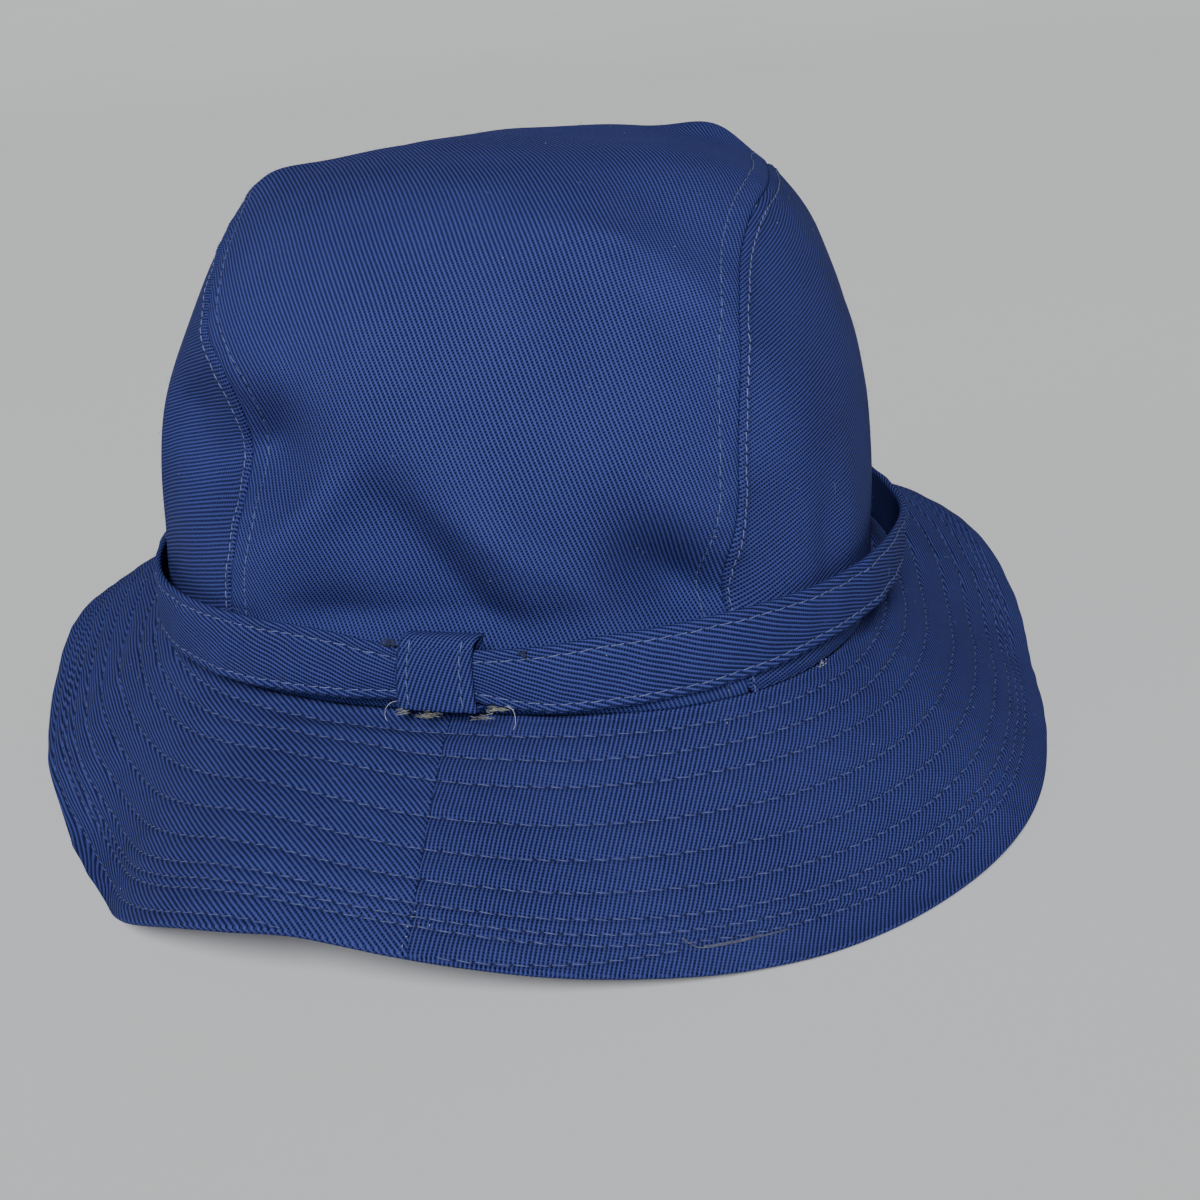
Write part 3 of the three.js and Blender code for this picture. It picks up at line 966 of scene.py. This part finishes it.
def keeper():
    """Loop of twill round the band."""
    path, outward = keeper_path(KEEPER_STEPS)
    thick = KEEPER_CLOTH / 2
    rim = thick / KEEPER_WIDTH
    face = np.linspace(rim, 1 - rim, KEEPER_COLUMNS)
    back = face[::-KEEPER_BACK_STEP]
    turn = np.linspace(0, math.pi, EDGE_STEPS + 2)[1:-1]
    share = np.concatenate([face, 1 - rim + rim * np.sin(turn), back, rim - rim * np.sin(turn)])
    from_row = np.minimum(face, 1 - face) * KEEPER_WIDTH - KEEPER_ROW
    groove = KEEPER_GROOVE * bell(from_row, KEEPER_GROOVE_HALF)
    lift = np.concatenate(
        [thick - groove, thick * np.cos(turn), np.full_like(back, -thick), -thick * np.cos(turn)]
    )
    spots = path[:, None] + outward[:, None] * (lift - thick)[:, None]
    sections = keeper_point(share, spots)
    run = run_lengths(np.concatenate([path, path[:1]])[:, None], 0)
    weave = np.stack(np.broadcast_arrays(run_lengths(sections[:1], 1), run), -1)
    return loft("keeper_loop", sections, weave, ring=True)


def keeper_lines():
    """Points and directions along the keeper's two rows of stitches, from its foot up over its rolled top."""
    path, outward = keeper_path(KEEPER_STEPS)
    steps = np.arange(-KEEPER_ROW_BELOW, KEEPER_ROW_ABOVE)
    low = path[steps] - KEEPER_ROW_SINK * outward[steps]
    high = low + outward[steps]
    lines = []
    for share in (KEEPER_ROW / KEEPER_WIDTH, 1 - KEEPER_ROW / KEEPER_WIDTH):
        points, above = (keeper_point(share, spots) for spots in (low, high))
        lines.append((points, unit(above - points)))
    return lines


# Stitches

FAN_HALF = 15.0
STITCH_PART = 0.9
STITCH_START = 0.06
STITCH_JITTER = 0.05
STITCH_SEED = 41
HOLE_SLANT = 0.45
HOLE_SHIFT = 0.05
HOLE_TAPER = np.array([0.4, 1.0, 0.4])

# One stitch: share of its length, height and thickness by the thread's radius
STITCH = table(
    "share rise thick",
    (0, -1.6, 0.75),
    (0.1, 0.1, 0.95),
    (0.35, 0.75, 1),
    (0.65, 0.75, 1),
    (0.9, 0.1, 0.95),
    (1, -1.6, 0.75),
)


def stitches(name, lines, length, seed, hole=(0.9, 0.19), slant=0.12, fan=0.0, radius=THREAD_RADIUS):
    """Rows of stitches along lines of points and directions, each dipping into its needle holes. A second
    mesh paints the shadow in the needle holes: dark marks of a length and radius, aslant between the
    stitches.
    A fan turns the stitches right of the back against those left of it, and hooks each end towards the next."""
    rng = np.random.default_rng(seed)
    aside = 1 - 2 * STITCH["share"]
    if fan:
        aside[-1] = 0.5
    hole_length, hole_radius = hole
    parts = []
    for points, directions in lines:
        lengths = run_lengths(points[:, None], 0)[:, 0]
        count = int(lengths[-1] / length)
        jitter = rng.uniform(-STITCH_JITTER, STITCH_JITTER, count)
        starts = (np.arange(count) + STITCH_START) * length + jitter * length
        at = starts[:, None] + STITCH["share"] * length * STITCH_PART
        spots = read_run(at, lengths, points)
        above = unit(read_run(at, lengths, directions))
        beside = unit(np.cross(np.gradient(spots, axis=1), above))
        turned = slant - fan * np.tanh(spots[:, :1, 0] / FAN_HALF)
        lean = (turned + rng.uniform(-STITCH_JITTER, STITCH_JITTER, (count, 1))) * aside
        centres = spots + above * (radius * STITCH["rise"])[:, None] + beside * lean[..., None]
        ahead = unit(spots[:, -1] - spots[:, 0])
        across = (ahead * HOLE_SLANT - beside[:, -1]) * hole_length / 2
        middle = spots[:, -1] + ahead * HOLE_SHIFT * length
        marks = middle[:, None] + across[:, None] * np.array([-1, 0, 1])[:, None]
        parts.append((centres, above, marks, np.repeat(above[:, -1:], 3, axis=1)))
    centres, normals, marks, mark_normals = (np.concatenate(part) for part in zip(*parts))
    thread_piece = tubes(name, centres, normals, STITCH["thick"] * radius)
    # Dark marks that paint the shadow in the needle holes.
    hole_shadow_piece = tubes(name + "_hole_shadows", marks, mark_normals, HOLE_TAPER * hole_radius, sides=4)
    return thread_piece, hole_shadow_piece


# Loose fibres
FRAY_RADIUS = 0.045
END_RADIUS = 0.042
STRAND_RADIUS = 0.17
TACK_RADIUS = 0.06
FIBRE_BEND = 0.6
FIBRE_CURL = 0.8
FIBRE_CLEAR = 0.08
TIP_START = 0.9
TIP_THIN = 0.5
END_SIDE = (0.3, 0.5, 0.8)
TACK_SIDE = (0.2, -0.9, 0.3)


def fibres(name, places, normals, length, rise, radius, seed, standing=False, rings=5):
    """Loose fibres on cloth, each a bent tube. Standing ones are held at one end, others lie in an arch."""
    rng = np.random.default_rng(seed)
    count = len(places)
    heading = unit(np.cross(normals, rng.normal(size=(count, 3))))
    beside = np.cross(normals, heading)
    t = np.linspace(0, 1, rings)
    long = rng.uniform(*length, (count, 1))
    lift = rng.uniform(*rise, (count, 1))
    bend = rng.uniform(-FIBRE_BEND, FIBRE_BEND, (count, 1)) * long
    ahead = t * long
    aside = bend * t * t
    up = lift * t**FIBRE_CURL if standing else lift * np.sin(math.pi * t) + FIBRE_CLEAR
    parts = ((heading, ahead), (beside, aside), (normals, up))
    centres = places[:, None] + sum(way[:, None] * amount[..., None] for way, amount in parts)
    thin = np.where(t > TIP_START, TIP_THIN, 1.0)
    return tubes(name, centres, normals[:, None], radius * thin, sides=3)


def scattered(count, seed):
    """Places and directions picked over all the cloth faces."""
    places = np.concatenate(cloth_places)
    normals = np.concatenate(cloth_normals)
    pick = np.random.default_rng(seed).integers(0, len(places), count)
    return places[pick], normals[pick]


# Frayed ends under the keeper: reach across from its middle, height, distance from the crown and count
TUFTS = table(
    "start end height distance count",
    (-7.9, -6.0, 2.4, 5.2, 10),
    (-3.6, 0.6, 2.2, 5.5, 22),
    (10.2, 13.6, 3.4, 4.2, 24),
    (7.0, 10.6, 1.9, 4.8, 12),
)


def frayed_ends(name, seed):
    """Tufts of fine cut yarn, lying along the foot of the keeper."""
    rng = np.random.default_rng(seed)
    t = np.linspace(0, 1, 6)
    centres = []
    for start, end, height, distance, count in zip(*TUFTS.values()):
        shape = (int(count), 1)
        middle = rng.uniform(start, end, shape)
        long = rng.uniform(1.0, 2.6, shape) * rng.choice([-1, 1], shape)
        across = np.clip(middle + long * (t - 0.5), start - 0.6, end + 0.6)
        high = rng.uniform(0.1, 0.45, shape)
        wave = high * np.sin(t * rng.uniform(2, 5, shape) + rng.uniform(0, 6, shape))
        level = height + rng.normal(0, 0.4, shape) + wave
        depth = distance + rng.normal(0, 0.35, shape) + 0.5 * wave
        centres.append(keeper_place(across, level, depth))
    centres = np.concatenate(centres)
    ways = unit(rng.normal(size=(len(centres), 1, 3)))
    return tubes(name, centres, ways, FRAY_RADIUS, sides=4)


# Loose thread ends: across from the keeper's middle, height and distance from the crown, along each thread
THREAD_ENDS = (
    table("across height distance", (-7.6, 4.0, 4), (-9, 4.4, 5.5), (-9.9, 3.2, 6.5), (-9.6, 0.8, 6.8)),
    table("across height distance", (13.6, 4.4, 4.2), (14.8, 3.8, 5.5), (15.2, 2.2, 6.5), (14.7, 0.4, 7)),
    table("across height distance", (13.2, 4.3, 4.4), (13.9, 4.4, 5), (14.5, 4.2, 5.2), (15, 3.8, 5)),
)


def thread_ends(name):
    t = np.linspace(0, 3, 14)
    order = np.arange(4)
    spots = []
    for points in THREAD_ENDS:
        curve = {key: np.polyval(np.polyfit(order, column, 3), t) for key, column in points.items()}
        spots.append(keeper_place(curve["across"], curve["height"], curve["distance"]))
    return tubes(name, np.stack(spots), END_SIDE, END_RADIUS, sides=5)


# Loose doubled thread on the brim: azimuth, share of its width and height above it, along the thread
BRIM_THREAD = table(
    "step azimuth share lift",
    (0, 22, 0.848, 0.3),
    (1, 22.6, 0.868, 0.45),
    (2, 23.3, 0.886, 0.6),
    (3, 25.3, 0.884, 0.5),
    (4, 27.9, 0.877, 0.35),
    (5, 29.7, 0.873, 0.2),
    (6, 31.5, 0.87, 0),
)
STRANDS = ((0.0, 0.0, 0.0, 6.0), (-0.005, 0.15, 2.2, 4.6))


def brim_thread(name):
    """Two strands, each by its shift across the brim, its rise, and where it starts and ends."""
    spots = []
    ways = []
    for shift, rise, first, last in STRANDS:
        step = np.linspace(first, last, 28)
        columns = ("azimuth", "share", "lift")
        azimuth, share, lift = (read_table(BRIM_THREAD, "step", column, step) for column in columns)
        face = BRIM_CLOTH / 2 + brim_relief(azimuth, share + shift)
        spots.append(brim_place(azimuth, share + shift, face + lift + rise))
        ways.append(brim_normal(azimuth, share))
    return tubes(name, np.stack(spots), np.stack(ways), STRAND_RADIUS, sides=6)


# White specks along the brim's back seam and one by the band, by azimuth and share of the width
SEAM_SPECKS = table(
    "azimuth share",
    (-0.1, 0.855),
    (0.1, 0.835),
    (-0.2, 0.894),
    (-0.4, 0.966),
    (1.4, 0.877),
    (-0.3, 0.928),
    (33.2, 0.088),
)


def seam_specks(name, seed):
    azimuth, share = SEAM_SPECKS.values()
    places = brim_place(azimuth, share, BRIM_CLOTH / 2 + brim_relief(azimuth, share))
    return fibres(name, places, brim_normal(azimuth, share), (0.3, 0.5), (0.05, 0.1), 0.09, seed, rings=3)


# Tuft of white lint caught under the band
LINT_AZIMUTH = 48.4
LINT_HEIGHT = 0.8
LINT_STAND = 0.9
LINT_COUNT = 13


def band_lint(name, seed):
    rng = np.random.default_rng(seed)
    azimuth = LINT_AZIMUTH + rng.normal(0, 0.35, LINT_COUNT)
    height = LINT_HEIGHT + rng.normal(0, 0.35, LINT_COUNT)
    places = beside_crown(azimuth, height, LINT_STAND)
    normals = unit(beside_crown(azimuth, height, LINT_STAND + 1) - places)
    return fibres(name, places, normals, (0.3, 0.8), (0.1, 0.4), 0.045, seed)


# Tacks at the band's upper edge: azimuth, height, spread across and up, and count
TACKS = table(
    "azimuth height wide tall count",
    (-6.8, 17.0, 1.3, 1.3, 34),
    (10.0, 15.4, 0.4, 1.3, 9),
)


def tacks(name, seed):
    """Knots of dark thread where the band is caught to the crown."""
    rng = np.random.default_rng(seed)
    t = np.linspace(0, 1, 6)
    centres = []
    for azimuth, height, wide, tall, count in zip(*TACKS.values()):
        shape = (int(count), 1)
        across = rng.uniform(-wide, wide, shape) + rng.uniform(-2.2, 2.2, shape) * (t - 0.5)
        level = height + rng.uniform(-tall, tall, shape) * 0.4
        level = level + tall * (t - 0.5) * rng.uniform(0.4, 1.6, shape)
        stand = read_table(BAND, "azimuth", "stand", azimuth, True) + BAND_CLOTH
        depth = stand + rng.uniform(0.0, 0.5, shape) + 0.35 * np.sin(math.pi * t)
        centres.append(beside_crown(azimuth + np.degrees(across / CROWN_HALF_DEPTH), level, depth))
    return tubes(name, np.concatenate(centres), TACK_SIDE, TACK_RADIUS, sides=4)


# Materials

NAVY_LIGHT = (0.058, 0.078, 0.3)
NAVY_DARK = (0.004, 0.006, 0.04)
DOT_STEP = 0.61
DOT_SHIFT = -0.3
WANDER_SCALE = 0.05
WANDER_PART = 0.8
VALLEY_POWER = 1.3
DOT_POWER = 1.4
CREST_POWER = 2.5
FUZZ_SCALE = 1.6
FUZZ_PART = 0.5
PATCH_SCALE = 0.035
PATCH_PART = 0.25
TONE_SHIFT = 0.41


def new_material(name):
    """New material, with makers of its nodes, sums, noises and colour ramps, and a setter for its shader."""
    material = bpy.data.materials.new(name)
    material.use_nodes = True
    nodes = material.node_tree.nodes
    links = material.node_tree.links

    def fill(node, inputs):
        for key, value in inputs.items():
            if isinstance(value, bpy.types.NodeSocket):
                links.new(value, node.inputs[key])
            else:
                node.inputs[key].default_value = value
        return node

    def make(kind, inputs, **settings):
        node = nodes.new(kind)
        for key, value in settings.items():
            setattr(node, key, value)
        return fill(node, inputs)

    def calc(operation, a, b=0.0, c=0.0):
        return make("ShaderNodeMath", {0: a, 1: b, 2: c}, operation=operation).outputs[0]

    def noise(place, scale, detail, roughness=0.5):
        inputs = {"Vector": place, "Scale": scale, "Detail": detail, "Roughness": roughness}
        return make("ShaderNodeTexNoise", inputs).outputs["Fac"]

    def ramp(factor, dark, light, low, high):
        node = make("ShaderNodeValToRGB", {"Fac": factor})
        for stop, place, colour in zip(node.color_ramp.elements, (low, high), (dark, light)):
            stop.position = place
            stop.color = (*colour, 1)
        return node.outputs["Color"]

    def finish(colour, roughness, bump=None, gloss=0.5):
        shader = nodes["Principled BSDF"]
        fill(shader, {"Base Color": colour, "Roughness": roughness, "Specular IOR Level": gloss})
        if bump:
            strength, distance, height = bump
            node = make("ShaderNodeBump", {"Strength": strength, "Distance": distance * MM, "Height": height})
            fill(shader, {"Normal": node.outputs["Normal"]})

    return material, make, calc, noise, ramp, finish


def twill(name, turn, wale, painted_shade=1.0, dots=0.7, ribs=0.36):
    """Twill cloth: ribs across the weave at a turn in degrees, with dark dots in the valleys between them.
    Its colour follows the ribs' height: painted highlight on the crests, painted shade in the valleys and
    their dots.
    """
    # The factor after the wale scales both colours as painted shade: a darker copy of the same navy for a
    # piece that gets less light.
    light = [painted_shade * value for value in NAVY_LIGHT]
    dark = [painted_shade * value for value in NAVY_DARK]
    material, make, calc, noise, ramp, finish = new_material(name)
    uv = make("ShaderNodeUVMap", {}, uv_map="Weave").outputs["UV"]
    rotation = (0, 0, math.radians(turn))
    turned = make("ShaderNodeMapping", {"Vector": uv, "Rotation": rotation}).outputs["Vector"]
    split = make("ShaderNodeSeparateXYZ", {"Vector": turned}).outputs
    wander = calc("MULTIPLY", noise(uv, WANDER_SCALE, 1.0), WANDER_PART)
    across = calc("MULTIPLY_ADD", split["X"], 1 / wale, wander)
    rib = calc("MULTIPLY_ADD", calc("COSINE", calc("MULTIPLY", across, 2 * math.pi)), -0.5, 0.5)
    shifted = calc("MULTIPLY_ADD", across, DOT_SHIFT, calc("DIVIDE", split["Y"], DOT_STEP))
    dot = calc("MULTIPLY_ADD", calc("COSINE", calc("MULTIPLY", shifted, 2 * math.pi)), 0.5, 0.5)
    valley = calc("SUBTRACT", 1.0, rib)
    hole = calc("MULTIPLY", calc("POWER", valley, VALLEY_POWER), calc("POWER", dot, DOT_POWER))
    crest = calc("POWER", rib, CREST_POWER)
    # Painted highlight and shade: the colour follows this height, lighter on the crests and darker in the
    # valleys and their dots, and the bump follows it too.
    height = calc("MULTIPLY_ADD", hole, -dots, calc("MULTIPLY_ADD", crest, ribs, 0.67 - 0.34 * ribs))
    height = calc("MULTIPLY_ADD", noise(turned, FUZZ_SCALE, 3.0, 0.65), FUZZ_PART, height)
    level = calc("SUBTRACT", height, TONE_SHIFT)
    tone = calc("MULTIPLY_ADD", noise(uv, PATCH_SCALE, 3.0), PATCH_PART, level)
    finish(ramp(tone, dark, light, 0.17, 0.78), 0.88, bump=(0.8, 0.2, height), gloss=0.1)
    return material


def thread(name, light, dark):
    """Sewing thread, a little uneven along its length."""
    material, make, _, noise, ramp, finish = new_material(name)
    place = make("ShaderNodeTexCoord", {}).outputs["Object"]
    tone = noise(place, 900.0, 3.0)
    finish(ramp(tone, dark, light, 0.3, 0.7), 0.7, bump=(0.5, 0.05, tone))
    return material


# Assembly

def dress(piece, material, slot, node=None):
    piece.data.materials.append(material)
    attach(piece, "root")
    if node:
        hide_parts(node)
    return piece


def build_hat():
    strip, strip_rows = crown_strip()
    left, left_row = crown_side("crown_panel_left", "left", LEFT_SEED)
    right, right_row = crown_side("crown_panel_right", "right", RIGHT_SEED)
    brim_l = brim_half("brim_half_left", -180, 0)
    brim_r = brim_half("brim_half_right", 0, 180)
    # The fourth number of each twill is painted shade on the same navy cloth: the side panels, brim halves
    # and band are painted darker where they get less light.
    cloth = (
        (strip, twill("twill_strip", -22, 0.89), "crown_twill", "crown_center"),
        (left, twill("twill_left", 75, 0.92, 0.9), "crown_twill", "crown_side_left"),
        (right, twill("twill_right", 66, 0.89, 0.9), "crown_twill", "crown_side_right"),
        (brim_l, twill("twill_brim_left", -43, 0.9, 0.93, 0.35, 0.75), "brim_twill", "brim_left"),
        (brim_r, twill("twill_brim_right", 6, 0.77, 0.89, 0.35, 0.75), "brim_twill", "brim_right"),
        (band(), twill("twill_band", -70, 0.92, 0.94, 0.5, 0.7), "band_twill", "band"),
        (keeper(), twill("twill_keeper", 19.5, 0.85, 1.0, 0.5, 0.8), "band_twill", "band_keeper"),
    )
    pieces = {piece.name: dress(piece, *look) for piece, *look in cloth}
    add_stitches(left_row, right_row, strip_rows)
    add_loose_threads()


def add_stitches(left_row, right_row, strip_rows):
    brim_colour = thread("brim_thread", (0.12, 0.145, 0.33), (0.05, 0.064, 0.18))
    strip_colour = thread("strip_thread", (0.13, 0.165, 0.35), (0.05, 0.068, 0.18))
    side_colour = thread("side_thread", (0.2, 0.24, 0.48), (0.07, 0.095, 0.25))
    band_colour = thread("band_thread", (0.18, 0.22, 0.44), (0.07, 0.09, 0.22))
    # Near-black navy that paints the shadow in the needle holes between the stitches.
    hole_shadow_colour = thread("painted_hole_shadow", (0.006, 0.009, 0.04), (0.003, 0.005, 0.02))
    both = ((left_row, right_row), strip_rows)
    lapped, sewn = ([(settle(p), n @ rest_turn.T) for p, n in pair] for pair in both)
    edges = [band_line(True), band_line(False)]
    wide = {"hole": (1.2, 0.28), "slant": 0.0, "fan": 0.22}
    fine = {"hole": (0.6, 0.12), "radius": FINE_THREAD_RADIUS}
    rows = (
        ("seam_stitches", lapped, SIDE_STITCH, side_colour, "crown_twill", {}),
        ("strip_stitches", sewn, SEAM_STITCH, strip_colour, "crown_twill", {"hole": (0.7, 0.14)}),
        ("brim_stitches", spiral_lines(), BRIM_STITCH, brim_colour, "brim_twill", wide),
        ("band_stitches", edges, BAND_STITCH, band_colour, "band_twill", fine),
        ("keeper_stitches", keeper_lines(), KEEPER_STITCH, band_colour, "band_twill", fine),
    )
    for seed, (name, lines, length, colour, slot, settings) in enumerate(rows, STITCH_SEED):
        threads, holes = stitches(name, lines, length, seed, **settings)
        dress(threads, colour, slot)
        dress(holes, hole_shadow_colour, slot)


def add_loose_threads():
    cut_yarn = thread("cut_yarn", (0.5, 0.5, 0.38), (0.12, 0.14, 0.14))
    white = thread("white_lint", (0.75, 0.78, 0.85), (0.4, 0.43, 0.5))
    tack = thread("tack_thread", (0.04, 0.052, 0.12), (0.01, 0.014, 0.04))
    grey = thread("grey_thread", (0.11, 0.12, 0.2), (0.045, 0.05, 0.09))
    navy = thread("navy_fuzz", (0.075, 0.095, 0.22), (0.03, 0.042, 0.12))
    pale_lint = thread("pale_lint", (0.32, 0.38, 0.58), (0.15, 0.19, 0.34))
    dress(frayed_ends("keeper_fray", 51), cut_yarn, "band_twill")
    dress(thread_ends("thread_ends"), white, "band_twill")
    dress(tacks("band_tacks", 52), tack, "band_twill")
    dress(brim_thread("brim_loose_thread"), grey, "brim_twill")
    dress(seam_specks("seam_specks", 53), white, "brim_twill")
    dress(band_lint("band_lint", 54), white, "band_twill")
    hairs = scattered(5200, 61)
    fuzz = fibres("cloth_fuzz", *hairs, (0.5, 1.5), (0.3, 1.1), 0.022, 62, standing=True, rings=3)
    lint = fibres("lint", *scattered(150, 63), (0.6, 2.6), (0.05, 0.4), 0.022, 64)
    specks = fibres("specks", *scattered(70, 65), (0.12, 0.3), (0.02, 0.1), 0.07, 66, rings=3)
    for piece, colour in ((fuzz, navy), (lint, pale_lint), (specks, white)):
        dress(piece, colour, "crown_twill")


# Floor, light and camera
LIGHT_SPREAD = 22.0
FLOOR_FLAT = 2000.0
FLOOR_HALF = 40000.0
FLOOR_EASE = 5000.0
FLOOR_STEEP = 0.2
FLOOR_SIDES = 96
FLOOR_RINGS = 40


def floor_material():
    material, make, _, noise, ramp, finish = new_material("pale_floor")
    tone = noise(make("ShaderNodeTexCoord", {}).outputs["Object"], 3.0, 2.0)
    finish(ramp(tone, (0.84, 0.85, 0.86), (0.88, 0.89, 0.9), 0.0, 1.0), 0.8)
    return material


def add_floor():
    """Round floor, flat under the hat, that sweeps up far off to fill the picture from every side."""
    radius = np.geomspace(FLOOR_FLAT, FLOOR_HALF, FLOOR_RINGS)[:, None]
    beyond = radius - FLOOR_FLAT
    height = FLOOR_STEEP * beyond**2 / (beyond + FLOOR_EASE)
    points = polar(radius, np.arange(FLOOR_SIDES) * FULL_TURN / FLOOR_SIDES, height)
    index = np.arange(FLOOR_RINGS * FLOOR_SIDES).reshape(FLOOR_RINGS, FLOOR_SIDES)
    beside = np.roll(index, -1, axis=1)
    quads = np.stack([index[:-1], index[1:], beside[1:], beside[:-1]], -1).reshape(-1, 4)
    floor = mesh_object("floor", points.reshape(-1, 3), [index[:1], quads])
    floor.data.materials.append(floor_material())


# Lights by name, place in metres and power, and the sky's colour and strength
LIGHTS = (("key", (0.13, -1.5, 1.47), 3.2), ("fill", (-1.2, -1.0, 0.9), 0.05))
LIGHT_GOAL = Vector((0, 0, 0.07))
SKY_COLOUR = (0.9, 0.94, 1.0, 1)
SKY_STRENGTH = 0.03


def add_lights():
    for name, place, power in LIGHTS:
        data = bpy.data.lights.new(name, "SUN")
        data.angle = math.radians(LIGHT_SPREAD)
        data.energy = power
        light = bpy.data.objects.new(name, data)
        light.location = place
        light.rotation_euler = (LIGHT_GOAL - light.location).to_track_quat("-Z", "Y").to_euler()
        bpy.context.collection.objects.link(light)
    world = bpy.data.worlds.new("studio")
    world.use_nodes = True
    bpy.context.scene.world = world
    background = world.node_tree.nodes["Background"]
    background.inputs["Color"].default_value = SKY_COLOUR
    background.inputs["Strength"].default_value = SKY_STRENGTH


CAMERA_PLACE = (79.44, -349.22, 183.01)
CAMERA_AZIMUTH = 9.24
CAMERA_DOWN = 23.69
CAMERA_ROLL = -5.13
CAMERA_LENS = 45.0
CAMERA_SENSOR = 36.0
CAMERA_NEAR = 0.01


def add_camera():
    data = bpy.data.cameras.new("camera")
    data.lens = CAMERA_LENS
    data.sensor_width = CAMERA_SENSOR
    data.clip_start = CAMERA_NEAR
    camera = bpy.data.objects.new("camera", data)
    turn = Matrix.Rotation(math.radians(CAMERA_AZIMUTH), 4, "Z")
    tilt = Matrix.Rotation(math.radians(90 - CAMERA_DOWN), 4, "X")
    roll = Matrix.Rotation(math.radians(CAMERA_ROLL), 4, "Z")
    camera.matrix_world = Matrix.Translation(Vector(CAMERA_PLACE) * MM) @ turn @ tilt @ roll
    bpy.context.collection.objects.link(camera)
    bpy.context.scene.camera = camera


add_camera()
build_hat()
add_floor()
add_lights()
